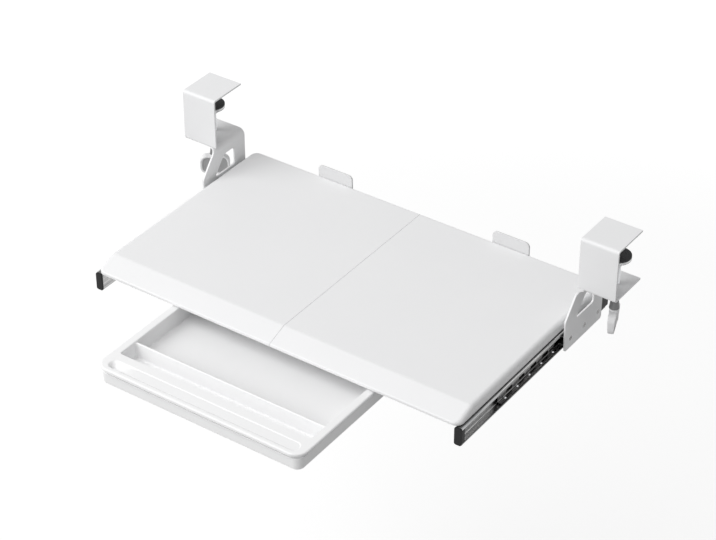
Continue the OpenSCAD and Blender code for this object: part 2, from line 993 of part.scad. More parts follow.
on_side(left) clamp();  // left_clamp
on_side(right) clamp();  // right_clamp
on_side(left) jaw_pad();  // left_jaw_pad
on_side(right) jaw_pad();  // right_jaw_pad
on_side(left) clamp_nut();  // left_clamp_nut
on_side(right) clamp_nut();  // right_clamp_nut
on_side(left) fixed_rail();  // left_fixed_rail
on_side(right) fixed_rail();  // right_fixed_rail
on_side(left) rail_fixings();  // left_rail_screws
on_side(right) rail_fixings();  // right_rail_screws
on_side(left) tray_half();  // left_tray_half
on_side(right) tray_half();  // right_tray_half
on_side(left) keyboard_stop();  // left_keyboard_stop
on_side(right) keyboard_stop();  // right_keyboard_stop
joint_bar(bar_rows[0]);  // front_joint_bar
joint_bar(bar_rows[1]);  // rear_joint_bar
joint_screws(bar_rows[0]);  // front_joint_screws
joint_screws(bar_rows[1]);  // rear_joint_screws
on_side(left) slide_hanger();  // left_slide_hanger
on_side(right) slide_hanger();  // right_slide_hanger
on_side(left) hanger_fixings();  // left_hanger_screws
on_side(right) hanger_fixings();  // right_hanger_screws
on_side(left) slide_channel();  // left_slide_channel
on_side(right) slide_channel();  // right_slide_channel
on_side(left) channel_fixings();  // left_channel_screws
on_side(right) channel_fixings();  // right_channel_screws
on_side(left) front_cap();  // left_front_cap
on_side(right) front_cap();  // right_front_cap
on_side(left) rear_bumper();  // left_rear_bumper
on_side(right) rear_bumper();  // right_rear_bumper
on_side(left) drawer_runner();  // left_drawer_runner
on_side(right) drawer_runner();  // right_drawer_runner
on_side(left) runner_fixings();  // left_runner_screws
on_side(right) runner_fixings();  // right_runner_screws
on_side(left) ball_cage();  // left_ball_cage
on_side(right) ball_cage();  // right_ball_cage
on_side(left) slide_balls();  // left_slide_balls
on_side(right) slide_balls();  // right_slide_balls
drawer();
on_side(left) clamp_screw();  // left_clamp_screw
on_side(right) clamp_screw();  // right_clamp_screw
on_side(left) knob(left_knob_turn);  // left_knob
on_side(right) knob(right_knob_turn);  // right_knob
on_side(left) knob_collar();  // left_knob_collar
on_side(right) knob_collar();  // right_knob_collar
on_side(left) pressure_pad();  // left_pressure_pad
on_side(right) pressure_pad();  // right_pressure_pad
on_side(left) pad_facing();  // left_pad_facing
on_side(right) pad_facing();  // right_pad_facing
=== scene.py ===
import json
from math import pi, radians, tau

import bmesh
import bpy
import numpy as np
from mathutils.geometry import tessellate_polygon
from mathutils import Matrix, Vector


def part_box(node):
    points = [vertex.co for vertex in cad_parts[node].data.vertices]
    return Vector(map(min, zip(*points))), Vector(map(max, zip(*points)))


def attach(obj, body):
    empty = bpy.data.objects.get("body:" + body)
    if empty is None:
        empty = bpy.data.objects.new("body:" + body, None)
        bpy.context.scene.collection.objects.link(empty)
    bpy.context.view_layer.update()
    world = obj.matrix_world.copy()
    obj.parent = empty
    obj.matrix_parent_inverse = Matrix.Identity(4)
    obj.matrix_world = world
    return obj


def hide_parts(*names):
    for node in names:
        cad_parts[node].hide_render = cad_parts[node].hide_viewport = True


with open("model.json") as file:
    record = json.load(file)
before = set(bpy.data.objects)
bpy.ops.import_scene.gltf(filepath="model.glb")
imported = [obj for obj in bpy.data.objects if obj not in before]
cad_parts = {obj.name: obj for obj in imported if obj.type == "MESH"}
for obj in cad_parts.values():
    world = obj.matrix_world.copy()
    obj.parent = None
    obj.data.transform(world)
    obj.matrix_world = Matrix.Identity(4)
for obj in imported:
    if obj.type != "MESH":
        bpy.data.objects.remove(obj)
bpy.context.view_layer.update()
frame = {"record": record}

# Viewpoint
# The camera stood to the right of the tray and looked down on it through a long lens.
view_from = (1.2055, -1.7828, 1.4646)
view_turn = (radians(55.0), 0.0, radians(35.0))
view_lens = 112.1
view_sensor = 36.0
camera = bpy.data.objects.new("camera", bpy.data.cameras.new("camera"))
camera.location = view_from
camera.rotation_euler = view_turn
camera.data.lens = view_lens
camera.data.sensor_width = view_sensor
bpy.context.scene.collection.objects.link(camera)
bpy.context.scene.camera = camera
bpy.context.scene.view_settings.view_transform = "Standard"


# Studio floor and light
# White paper lies well below the tray, as far down as a room's floor would be.
# One very large soft lamp hangs in front on the left, and white walls fill in the rest.
class Signal:
    """A shader socket. Arithmetic on it adds Math nodes, and node() adds any other node to its tree."""

    def __init__(self, socket):
        self.socket = socket

    def node(self, kind, settings=None, inputs=None, output=0):
        """Adds a node: its settings first, then a link or a value for each socket, by name or number."""
        tree = self.socket.id_data
        made = tree.nodes.new(kind)
        for name, value in (settings or {}).items():
            setattr(made, name, value)
        for name, value in (inputs or {}).items():
            if isinstance(value, Signal):
                tree.links.new(value.socket, made.inputs[name])
            else:
                made.inputs[name].default_value = value
        return Signal(made.outputs[output]) if made.outputs else None

    def math(self, operation, first, second):
        """A Math node on two signals or numbers."""
        return self.node("ShaderNodeMath", {"operation": operation}, {0: first, 1: second})

    def __add__(self, other):
        return self.math("ADD", self, other)

    __radd__ = __add__

    def __abs__(self):
        return self.math("ABSOLUTE", self, 0.0)

    def __sub__(self, other):
        return self.math("SUBTRACT", self, other)

    def __rsub__(self, other):
        return self.math("SUBTRACT", other, self)

    def __mul__(self, other):
        return self.math("MULTIPLY", self, other)

    __rmul__ = __mul__

    def mix(self, low, high):
        """Colour that runs from low to high as this signal runs from 0 to 1."""
        ends = [end if isinstance(end, Signal) else (*end, 1.0) for end in (low, high)]
        return self.node("ShaderNodeMix", {"data_type": "RGBA"}, {"Factor": self, 6: ends[0], 7: ends[1]}, 2)

    def ramp(self, low, high):
        """Rises smoothly from 0 at low to 1 at high, and falls where low is the larger."""
        return self.node("ShaderNodeMapRange", {"interpolation_type": "SMOOTHSTEP"},
                         {"Value": self, "From Min": low, "From Max": high})

    def axis(self, name):
        """One coordinate of these places."""
        return self.node("ShaderNodeSeparateXYZ", None, {0: self}, name)

    def noise(self, scale, detail):
        """Cloudy value about 0.5, whose blots are about 1 / scale metres wide at this signal's places."""
        return self.node("ShaderNodeTexNoise", None, {"Vector": self, "Scale": scale, "Detail": detail})

    def stretched(self, x, y, z):
        """These places with each axis multiplied, which squeezes a pattern along it."""
        return self.node("ShaderNodeMapping", None, {"Vector": self, "Scale": (x, y, z)})


def seen_rays(tree):
    """1 where the camera looks, straight or by way of gloss or glass, and 0 for light that spreads."""
    rays = tree.nodes.new("ShaderNodeLightPath").outputs
    return Signal(rays["Is Camera Ray"]) + Signal(rays["Is Glossy Ray"]) + Signal(rays["Is Transmission Ray"])


floor_z = -0.62
floor_half = 9.0
floor_white = (0.42, 0.42, 0.42, 1.0)
floor_glow = 0.65
floor_near, floor_far = 1.1, 2.6
wall_white = (1.0, 1.0, 1.0, 1.0)
wall_fill = 0.46
key_from = (-1.7, -2.6, 2.8)
key_turn = (radians(48.0), 0.0, radians(-33.2))
key_size = 5.0
key_watts = 155.0

# The paper's glow rises with the distance from the tray, so that its far edge is as white as the walls
paper = bpy.data.materials.new("white_paper")
paper.use_nodes = True
paper.node_tree.nodes.clear()
seen = seen_rays(paper.node_tree)
lit = seen.node("ShaderNodeBsdfDiffuse", None, {"Color": floor_white})
spot = seen.node("ShaderNodeTexCoord", None, None, "Object")
distance = seen.node("ShaderNodeVectorMath", {"operation": "LENGTH"}, {0: spot}, "Value")
glow_strength = seen * (floor_glow + (1.0 - floor_glow) * distance.ramp(floor_near, floor_far))
glow = seen.node("ShaderNodeEmission", None, {"Strength": glow_strength})
shown = seen.node("ShaderNodeAddShader", None, {0: lit, 1: glow})
below = seen.node("ShaderNodeNewGeometry", None, None, "Backfacing")
clear = seen.node("ShaderNodeBsdfTransparent")
sheet_of_paper = seen.node("ShaderNodeMixShader", None, {0: below, 1: shown, 2: clear})
seen.node("ShaderNodeOutputMaterial", None, {"Surface": sheet_of_paper})

floor_mesh = bpy.data.meshes.new("floor")
floor_corners = [(x * floor_half, y * floor_half, floor_z) for x, y in ((-1, -1), (1, -1), (1, 1), (-1, 1))]
floor_mesh.from_pydata(floor_corners, [], [(0, 1, 2, 3)])
floor_mesh.materials.append(paper)
floor = bpy.data.objects.new("floor", floor_mesh)
bpy.context.scene.collection.objects.link(floor)

walls = bpy.data.worlds.new("white_walls")
bpy.context.scene.world = walls
walls.use_nodes = True
walls.node_tree.nodes.clear()
seen = seen_rays(walls.node_tree)
strength = seen * (1.0 - wall_fill) + wall_fill
white = seen.node("ShaderNodeBackground", None, {"Color": wall_white, "Strength": strength})
seen.node("ShaderNodeOutputWorld", None, {"Surface": white})

key = bpy.data.objects.new("key_lamp", bpy.data.lights.new("key_lamp", "AREA"))
key.data.shape = "DISK"
key.data.size = key_size
key.data.energy = key_watts
key.location = key_from
key.visible_camera = False
key.rotation_euler = key_turn
bpy.context.scene.collection.objects.link(key)

# Clamps
# Each clamp is one strip of 2.2 mm steel: jaw, front plate and ledge, with a side plate bent down
# from the ledge that carries the slide. It is cut with a window and powder coated white.
MM = 0.001
SIDES = {"left": -1, "right": 1}
weld = 1e-6
body_of = {node: body for body, nodes in frame["record"]["behaviour"]["bodies"].items() for node in nodes}


def box_mm(node):
    """Lowest and highest corner of a CAD node, in millimetres."""
    return np.array(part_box(node)) / MM


def points_of(*coordinates):
    """Points from their coordinates, each of them one number, a row, a column or a whole grid."""
    return np.stack(np.broadcast_arrays(*coordinates), -1)


def rounded_line(points, radii, steps=6, inset=0.0):
    """Open line through points, with an arc at each inner corner, whose radius is shorter by inset.

    An arc's centre lies on the corner's bisector, at its radius over the cosine of half the turn, and
    its points run from the normal of the one side to the normal of the next.
    """
    p = np.array(points, float)
    side = np.diff(p, axis=0)
    heading = np.arctan2(-side[:, 0], side[:, 1])
    turn = (np.diff(heading) + pi) % tau - pi
    hand = np.sign(turn)
    middle = heading[:-1] + turn / 2
    reach = hand * radii / np.cos(turn / 2)
    centre = p[1:-1] - reach[:, None] * points_of(np.cos(middle), np.sin(middle))
    angle = heading[:-1, None] + turn[:, None] * np.linspace(0, 1, steps + 1)
    spoke = (hand * (np.array(radii) - inset))[:, None, None] * points_of(np.cos(angle), np.sin(angle))
    return np.concatenate([p[:1], (centre[:, None] + spoke).reshape(-1, 2), p[-1:]])


def offset(line, distance):
    """A line moved sideways to its right: each point goes along the mean normal of its two sides,
    by the distance over the cosine of half the turn between them."""
    side = np.diff(line, axis=0)
    side = side / np.linalg.norm(side, axis=1)[:, None]
    normal = side[:, ::-1] * (1, -1)
    mean = np.concatenate([normal[:1], (normal[:-1] + normal[1:]) / 2, normal[-1:]])
    return line + distance * mean / (mean ** 2).sum(1)[:, None]


def pressed_sheet(outer, inner, keep=None, joined=None):
    """Sheet metal between two grids of points, outer and inner.

    keep says which cells of the grid are there. A wall joins the grids round each hole and each edge,
    apart from edges where joined, one cell wider all round than keep, says that more sheet follows.
    """
    rows, columns = outer.shape[0] - 1, outer.shape[1] - 1
    keep = np.ones((rows, columns), bool) if keep is None else keep
    there = np.pad(keep, 1) if joined is None else np.pad(keep, 1) | joined
    near = np.arange((rows + 1) * (columns + 1)).reshape(rows + 1, columns + 1)
    far = near + near.size
    i, j = np.nonzero(keep)
    quads = [np.stack([s[i, j], s[i + 1, j], s[i + 1, j + 1], s[i, j + 1]], 1) for s in (near, far)]
    edges = {(-1, 0): (0, 0, 0, 1), (1, 0): (1, 0, 1, 1), (0, -1): (0, 0, 1, 0), (0, 1): (0, 1, 1, 1)}
    for (down, right), (a, b, c, d) in edges.items():
        beyond = there[1 + down:rows + 1 + down, 1 + right:columns + 1 + right]
        i, j = np.nonzero(keep & ~beyond)
        first, last = (i + a, j + b), (i + c, j + d)
        quads.append(np.stack([near[first], near[last], far[last], far[first]], 1))
    return np.concatenate([outer.reshape(-1, 3), inner.reshape(-1, 3)]), quads


def carried(profile, places, axis):
    """A profile carried along an axis: one row for each of its points, and one column for each place."""
    return np.insert(np.repeat(profile[:, None], len(places), 1), axis, places, -1)


def bent_strip(profile, sheet, places, axis=1, keep=None, joined=None):
    """A sheet with a bent section, carried along Y or another axis."""
    skins = [carried(line, places, axis) for line in (profile, offset(profile, sheet))]
    return pressed_sheet(*skins, keep, joined)


def solid(node, sheets, finish, hand=1, bevel=0.0, crease=32.0):
    """The piece that stands for a CAD node, made of sheets: points in millimetres, and arrays of faces.

    Points that meet are welded, faces are turned outwards and sharp edges may be rounded by a bevel.
    """
    starts = np.cumsum([0] + [len(points) for points, _ in sheets])
    points = np.concatenate([points for points, _ in sheets]) * (hand, 1, 1) * MM
    blocks = [block + start for start, (_, sets) in zip(starts, sheets) for block in sets]
    mesh = bpy.data.meshes.new(node + "_skin")
    mesh.from_pydata(points, [], [face for block in blocks for face in block.tolist()])
    shape = bmesh.new()
    shape.from_mesh(mesh)
    bmesh.ops.remove_doubles(shape, verts=shape.verts, dist=weld)
    loose = [v for v in shape.verts if not v.link_faces]
    bmesh.ops.delete(shape, geom=loose, context="VERTS")
    bmesh.ops.recalc_face_normals(shape, faces=shape.faces)
    shape.to_mesh(mesh)
    shape.free()
    mesh.shade_smooth()
    mesh.set_sharp_from_angle(angle=radians(crease))
    mesh.materials.append(finish)
    piece = bpy.data.objects.new(node + "_skin", mesh)
    bpy.context.scene.collection.objects.link(piece)
    if bevel:
        edge = piece.modifiers.new("rounded_edges", "BEVEL")
        edge.width = bevel * MM
        edge.segments = 2
        edge.limit_method = "ANGLE"
        edge.angle_limit = radians(crease)
    piece.modifiers.new("even_normals", "WEIGHTED_NORMAL").keep_sharp = True
    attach(piece, body_of[node])
    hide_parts(node)
    return piece


def pair(name, sheets, finish, **options):
    """The left and the right piece of a kind, both from the sheets of the right one."""
    for side, hand in SIDES.items():
        solid(f"{side}_{name}", sheets, finish, hand, **options)


def new_finish(name, **constants):
    """A material with a Principled shader: constants go on its own sockets.

    Returns it with the places of its surface and a function that links a signal to a socket.
    """
    finish = bpy.data.materials.new(name)
    finish.use_nodes = True
    tree = finish.node_tree
    shader = tree.nodes["Principled BSDF"].inputs
    for socket, value in constants.items():
        shader[socket.replace("_", " ")].default_value = value
    place = Signal(tree.nodes.new("ShaderNodeTexCoord").outputs["Object"])
    return finish, place, lambda socket, signal: tree.links.new(signal.socket, shader[socket])


def bumped(height, distance, strength):
    """Normal of a surface whose relief is height times distance, in metres."""
    return height.node("ShaderNodeBump", None, {"Height": height, "Distance": distance, "Strength": strength})


def clouded_finish(name, shine, tints, cloud, rough, grain, relief, gloss=None):
    """A coat or a moulding in one colour, with faint clouds between two tints and a fine grain.

    cloud and grain are the scale and detail of a noise, and so is gloss where the gloss has clouds of its
    own. rough is the least roughness and its rise, and relief is the grain's depth and strength.
    """
    finish, place, link = new_finish(name, Specular_IOR_Level=shine)
    clouds = place.noise(*cloud)
    dull = place.noise(*gloss) if gloss else clouds
    link("Base Color", clouds.mix(*tints))
    link("Roughness", rough[0] + rough[1] * dull)
    link("Normal", bumped(place.noise(*grain), *relief))
    return finish


# White polyester powder: the slight orange peel of its melting, and a satin gloss
white_coat = clouded_finish(
    "white_powder_coat", shine=0.45, tints=((0.835, 0.838, 0.848), (0.868, 0.868, 0.872)), cloud=(14.0, 3.0),
    gloss=(90.0, 3.0), rough=(0.34, 0.14), grain=(620.0, 1.0), relief=(0.00025, 0.35))
coat_bevel = 0.3
clamp_low, clamp_high = box_mm("right_clamp")
clamp_sheet = 2.2
clamp_top = clamp_high[2]
plate_x, clamp_x1 = clamp_low[0], clamp_high[0]
jaw_depth = 53.0
front_bend = 4.0
side_bend = 8.0
ledge_top = 35.3
ledge_under = ledge_top - clamp_sheet
ledge_rear = clamp_high[1]
bend_x = plate_x + side_bend
plate_foot = clamp_low[2]
plate_peak = 3.0
plate_slope = 2.5
plate_chamfer = 2.0
plate_nose_r, plate_heel_r = (6.0, 2.0), (1.0, 1.0)
window_low, window_high = -4.0, 20.0
window_front, window_rear = -3.5, 36.5
window_front_r, window_rear_r = (2.0, 8.0), (4.0, 6.0)
window_lean = (window_high - window_low) * -clamp_low[1] / (ledge_top - plate_peak)
rail_hole_r = 3.25
rail_hole_z = box_mm("right_rail_screws")[:, 2].mean()
rail_hole_y = np.array([-12.0, 18.5, 49.0])
plate_blocks, block_parts = 7, 3
row_step, least_row = 4.0, 0.05


def clamp_plate():
    """The side plate with its bend, and the places along Y of its points where it joins the ledge.

    Its points are functions of the developed length along plate and bend and of the place between its
    front and rear edges. Lines of the grid follow the edges of the window and the screw holes.
    """
    plate_bend_z = ledge_top - side_bend
    mid = (window_front + window_rear) / 2

    # Six lines between the front and the rear edge bound the holes, and take in the window's sides
    hole_turn = np.linspace(-1, 1, 8) * (pi / 2 - pi / 16)
    hole_z = rail_hole_z + rail_hole_r * np.sin(hole_turn)
    hole_half = rail_hole_r * np.cos(hole_turn)
    hole_lines = np.stack([y + s * hole_half for y in rail_hole_y for s in (-1, 1)], 1)

    def window_side(foot, head, radii):
        corners = [(mid, window_low), (foot, window_low), (head, window_high), (mid, window_high)]
        return rounded_line(corners, radii)[1:-1]

    window = [window_side(window_front, window_front + window_lean, window_front_r),
              window_side(window_rear, window_rear, window_rear_r)]
    window_z = np.unique(np.round(np.concatenate(window)[:, 1], 3))
    window_ends = [np.interp(window_z, line[:, 1], line[:, 0]) for line in window]
    window_lines = np.linspace(*window_ends, plate_blocks - 1, axis=1)
    top_lines = np.linspace(front_bend, ledge_rear, plate_blocks)[:-1]

    front_corners = [(0.0, ledge_top), (clamp_low[1], plate_peak), (clamp_low[1] + plate_slope, plate_foot)]
    rear_corners = [(ledge_rear, ledge_top), (ledge_rear, plate_foot + plate_chamfer),
                    (ledge_rear - plate_chamfer, plate_foot)]
    front_edge, rear_edge = [rounded_line(corners + [(mid, plate_foot)], radii)[-2::-1] for corners, radii in
                             ((front_corners, plate_nose_r), (rear_corners, plate_heel_r))]

    corner_z = np.concatenate([front_edge[:-1, 1], rear_edge[:-1, 1]])
    below = np.arange(plate_foot, window_low, row_step)
    above = np.linspace(window_high, plate_bend_z, 4)
    z = np.concatenate([hole_z, window_z, corner_z[corner_z < plate_bend_z], below, above])
    z = np.unique(np.round(z, 3))
    z = z[np.concatenate([[True], np.diff(z) > least_row])]
    bend_turn = np.linspace(0, pi / 2, 9)[1:]
    developed = np.concatenate([z, plate_bend_z + side_bend * bend_turn])
    height = np.concatenate([z, plate_bend_z + side_bend * np.sin(bend_turn)])

    known = np.concatenate([hole_z, window_z, developed[-1:]])
    lines = np.concatenate([hole_lines, window_lines, top_lines[None]])
    order = np.argsort(known)
    inner_lines = [np.interp(developed, known[order], line) for line in lines[order].T]
    front, rear = [np.interp(height, edge[:, 1], edge[:, 0]) for edge in (front_edge, rear_edge)]
    bounds = np.stack([front, *inner_lines, rear], 1)
    cells = plate_blocks * block_parts
    share = np.arange(cells + 1) / block_parts
    y = np.stack([np.interp(share, np.arange(plate_blocks + 1), row) for row in bounds])

    turn = np.concatenate([np.zeros(len(z)), bend_turn])[:, None]
    outer = points_of(bend_x - side_bend * np.cos(turn), y, height[:, None])
    inner = outer + clamp_sheet * points_of(np.cos(turn), 0, -np.sin(turn))
    middle_z = (developed[:-1] + developed[1:])[:, None] / 2
    block = np.arange(cells) // block_parts
    in_window = (middle_z > window_low) & (middle_z < window_high) & (block > 0) & (block < plate_blocks - 1)
    in_holes = (middle_z > hole_z[0]) & (middle_z < hole_z[-1]) & (block % 2 == 1)
    joined = np.zeros((len(developed) + 1, cells + 2), bool)
    joined[-1, 1 + block_parts:] = True
    return pressed_sheet(outer, inner, ~(in_window | in_holes), joined), y[-1, block_parts:]


def clamp_strip(ledge_y):
    """The line of jaw, front plate and ledge, with quarter bends, carried across the clamp's width.

    The ledge has rows at ledge_y, where the side plate joins it, and is cut off beside the plate's bend.
    """
    quarter = np.linspace(0, pi / 2, 7)
    cut_turn = np.arcsin((ledge_under + front_bend - ledge_top) / front_bend)
    lower_turn = np.sort(np.append(quarter, cut_turn))
    path = np.concatenate([
        points_of(np.linspace(jaw_depth, front_bend, 7)[:-1], clamp_top),
        points_of(front_bend * (1 - np.sin(quarter)), clamp_top - front_bend * (1 - np.cos(quarter))),
        points_of(0.0, np.linspace(clamp_top - front_bend, ledge_under + front_bend, 9)[1:-1]),
        points_of(front_bend * (1 - np.cos(lower_turn)), ledge_under + front_bend * (1 - np.sin(lower_turn))),
        points_of(ledge_y[1:], ledge_under),
    ])
    x = np.concatenate([[plate_x, (plate_x + bend_x) / 2], np.linspace(bend_x, clamp_x1, 9)])
    ledge_row = len(path) - len(ledge_y)
    cut_row = ledge_row - len(lower_turn) + 1 + int(np.searchsorted(lower_turn, cut_turn))
    keep = np.ones((len(path) - 1, len(x) - 1), bool)
    keep[cut_row:, :2] = False
    joined = np.zeros((len(path) + 1, len(x) + 1), bool)
    joined[1 + ledge_row:, 2] = True
    return bent_strip(path, -clamp_sheet, x, 0, keep, joined)


side_plate, plate_joint_y = clamp_plate()
pair("clamp", [side_plate, clamp_strip(plate_joint_y)], white_coat, bevel=coat_bevel)

# Jaw pads
# A strip of grey rubber is glued under each jaw, moulded with ridges for grip.
# Rubber is dull, with a faint bloom and the fine tooth of its mould.
grey_rubber = clouded_finish(
    "grey_rubber", shine=0.3, tints=((0.035, 0.035, 0.037), (0.062, 0.062, 0.065)), cloud=(120.0, 4.0),
    rough=(0.62, 0.2), grain=(1800.0, 1.0), relief=(0.0002, 0.4))
ridge_pitch = 2.4
ridge_depth = 0.35
ridge_steps = 8


def jaw_pad_sheet(low, high):
    """Flat above, and a row of waves below: height is a cosine of the place from front to rear."""
    ridges = round((high[1] - low[1]) / ridge_pitch)
    share = np.linspace(0, 1, ridge_steps * ridges + 1)
    wave = low[2] + ridge_depth * (0.5 - 0.5 * np.cos(tau * ridges * share))
    x = np.array([[low[0]], [high[0]]])
    y = low[1] + (high[1] - low[1]) * share
    return pressed_sheet(points_of(x, y, wave), points_of(x, y, high[2]))


pair("jaw_pad", [jaw_pad_sheet(*box_mm("right_jaw_pad"))], grey_rubber, crease=60.0)


# Clamp nuts
# A hexagon nut is welded under each ledge, in zinc-plated steel.
# Its corners are turned off at both ends.
def zinc_plate(name="zinc_steel", low=(0.24, 0.245, 0.26), high=(0.74, 0.735, 0.725), painted_shade=None):
    """Zinc plating on cold-rolled steel: drawn streaks along the strip, from a low tint to a high one. Their
    strong contrast also paints the dark and bright bands that the zinc reflects.

    painted_shade gives, from the places on the surface, how far painted shade darkens the colour towards near
    black.
    """
    finish, place, link = new_finish(name, Metallic=1.0)
    broad = place.stretched(620.0, 8.0, 620.0).noise(1.0, 2.0)
    fine = place.stretched(2400.0, 26.0, 2400.0).noise(1.0, 1.0)
    streak_and_reflection = (0.6 * broad + 0.4 * fine).ramp(0.34, 0.66)
    colour = streak_and_reflection.mix(low, high)
    if painted_shade:
        # Painted shade: the colour goes towards near black as the mask rises.
        colour = painted_shade(place).mix(colour, (0.02, 0.019, 0.018))
    link("Base Color", colour)
    link("Roughness", 0.22 + 0.16 * streak_and_reflection)
    link("Normal", bumped(streak_and_reflection, 0.00008, 0.25))
    return finish


zinc = zinc_plate()
screw_x, screw_y = 283.0, 34.0
nut_low, nut_high = box_mm("right_clamp_nut")
nut_corner_r = (nut_high[0] - nut_low[0]) / 2
nut_bore_r = 4.0
nut_chamfer = 0.9
nut_steps = 48


def rings(grid, ends=True):
    """Skin over a stack of closed rings: faces from each ring to the next, and one over each end."""
    index = np.arange(grid.shape[0] * grid.shape[1]).reshape(grid.shape[:2])
    beside = np.roll(index, -1, 1)
    faces = [np.stack([index[:-1], beside[:-1], beside[1:], index[1:]], -1).reshape(-1, 4)]
    return grid.reshape(-1, 3), faces + ([index[:1], index[-1:]] if ends else [])


def round_grid(radius, z, x=0.0, y=0.0):
    """Rings about an upright axis at x and y, from the radius of each point and the height of each ring."""
    angle = np.linspace(0, tau, radius.shape[1], endpoint=False)
    return points_of(x + radius * np.cos(angle), y + radius * np.sin(angle), z)


def nut_sheet():
    """Hexagon in polar form, its flat's distance over the cosine of the angle from the flat's middle,
    cut at each end by a cone that leaves a round face."""
    angle = np.linspace(0, tau, nut_steps, endpoint=False)
    flat = nut_corner_r * np.cos(pi / 6)
    hexagon = flat / np.cos((angle % (pi / 3)) - pi / 6)
    rows = np.array([0.0, nut_chamfer / 2, nut_chamfer])
    z = np.concatenate([nut_low[2] + rows, nut_high[2] - rows[::-1]])
    depth = np.minimum(z - nut_low[2], nut_high[2] - z)
    radius = np.minimum(hexagon, flat + depth[:, None] * (nut_corner_r - flat) / nut_chamfer)
    bore = np.full((1, nut_steps), nut_bore_r)
    radius = np.concatenate([bore, radius, bore, bore])
    z = np.concatenate([z[:1], z, z[-1:], z[:1]])[:, None]
    return rings(round_grid(radius, z, screw_x, screw_y), ends=False)


pair("clamp_nut", [nut_sheet()], zinc, crease=20.0)

# Fixed rails
# The inner member of each ball slide: a rolled steel channel with its back against the side plate.
# Three countersunk screws hold it, and they show on the plate's outer face.
rail_low, rail_high = box_mm("right_fixed_rail")
slide_sheet = 1.2
slide_z = (rail_low[2] + rail_high[2]) / 2
rail_bend = 2.2
race_dip = 0.55


def rail_sheet():
    """Half the section is the web, a bend and a flange with a shallow race for the balls.

    The race is the square of a sine. The other half mirrors the first.
    """
    x0, x1 = rail_low[0], rail_high[0]
    half = (rail_high[2] - rail_low[2]) / 2
    race = half - race_dip * np.sin(pi * np.linspace(0, 1, 9)) ** 2
    turn = np.linspace(pi / 2, 0, 7)[1:]
    flange = points_of(np.linspace(x0, x1 - rail_bend, 9), race)
    bend = points_of(x1 - rail_bend * (1 - np.cos(turn)), half - rail_bend * (1 - np.sin(turn)))
    upper = np.concatenate([flange, bend, [[x1, 0.0]]])
    section = np.concatenate([upper, upper[-2::-1] * (1, -1)]) + (0, slide_z)
    return bent_strip(section, slide_sheet, np.linspace(rail_low[1], rail_high[1], 24))


pair("fixed_rail", [rail_sheet()], zinc)


# Screws with a cross recess
# Turned and thread-rolled steel, zinc plated.
# Three countersunk ones go through each side plate into the rail.
cross_waist = 0.36


def cross_screw(profile, recess_r, recess_depth, steps=32):
    """A screw with its axis along Z, from the face of its head at 0.

    The recess is a cross in polar form, a power of the cosine of twice the angle, narrower at its foot.
    Beyond it the screw is its profile of radius and place, turned.
    """
    profile = np.array(profile, float)
    angle = np.linspace(0, tau, steps, endpoint=False)
    cross = recess_r * (cross_waist + (1 - cross_waist) * np.abs(np.cos(2 * angle)) ** 4)
    share = np.array([0.0, 0.55, 0.94, 1.06])
    sunk = recess_depth * np.array([1.0, 0.9, 0.06, 0.0])
    radius = np.concatenate([share[:, None] * cross, np.repeat(profile[:, :1], steps, 1)])
    return round_grid(radius, np.concatenate([sunk, profile[:, 1]])[:, None])


def countersunk(node, head_r, shank_r, edge, tip, recess_r, recess_depth, places, z):
    """Countersunk screws driven inwards from the outer face of their node's box, in a row along Y.

    A narrow edge, given by its width and height, leads to a cone of 45 degrees, the shank and a blunt tip.
    """
    low, high = box_mm(node)
    length = high[0] - low[0]
    width, rise = edge
    screw = cross_screw(
        [(head_r - width, 0.0), (head_r, rise), (shank_r, head_r - shank_r), (shank_r, length - tip),
         (shank_r - tip, length)], recess_r, recess_depth)
    return [rings(points_of(high[0] - screw[..., 2], y + screw[..., 0], z + screw[..., 1])) for y in places]


# A darker zinc, for the rail screws and the ball cages.
darker_zinc = zinc_plate("zinc_steel_darker", (0.09, 0.09, 0.092), (0.42, 0.415, 0.41))
rail_screws = countersunk(
    "right_rail_screws", head_r=3.2, shank_r=2.0, edge=(0.15, 0.12), tip=0.5, recess_r=1.9, recess_depth=1.1,
    places=rail_hole_y, z=rail_hole_z)
pair("rail_screws", rail_screws, darker_zinc)


# Ball cages
# A thin steel cage between rail and channel keeps the polished balls apart, one row above and one below.
# A row of windows is pressed in the lower half of its back, each between two balls.
def bright_steel():
    """Polished bearing steel, with only the haze of oil on it."""
    finish, place, link = new_finish("bright_steel", Metallic=1.0)
    haze = place.noise(300.0, 3.0)
    link("Base Color", haze.mix((0.60, 0.61, 0.63), (0.70, 0.70, 0.71)))
    link("Roughness", 0.08 + 0.14 * haze)
    return finish


bright = bright_steel()
cage_low, cage_high = box_mm("right_ball_cage")
cage_sheet = 0.8
cage_bend = 1.6
cage_window = {"length": 12.0, "width": 5.5, "corner": 1.2}
cage_window_z = -4.7
cage_window_apart = 2.0
hole_touch = 1e-6
strip_step = 9.0
ball_pitch = 25.0
ball_lead = 11.5
ball_y = np.arange(cage_low[1] + ball_lead, cage_high[1], ball_pitch)
cage_window_y = (ball_y[:-1] + ball_y[1:]) / 2


def hole_rows(y, places, length, width, corner, apart):
    """Half-height, at each y, of a row of rounded holes, and which stretches between the y lie in a hole.

    Past the straight part of a hole its half-height falls as a circle does. Beyond holes it is apart.
    """
    past = np.abs(y[:, None] - places).min(1) - (length / 2 - corner)
    height = width / 2 - corner + np.sqrt(np.maximum(corner ** 2 - np.maximum(past, 0) ** 2, 0))
    middle = (y[:-1] + y[1:]) / 2
    cut = np.abs(middle[:, None] - places).min(1) < length / 2
    return np.where(past > corner + hole_touch, apart, height), cut


def hole_stations(places, hole, steps=5):
    """The y at which a hole's outline needs points: along the arcs at both of its ends."""
    reach = hole["length"] / 2 - hole["corner"] * (1 - np.sin(np.linspace(0, pi / 2, steps)))
    return (places[:, None] + np.concatenate([-reach[::-1], reach])).ravel()


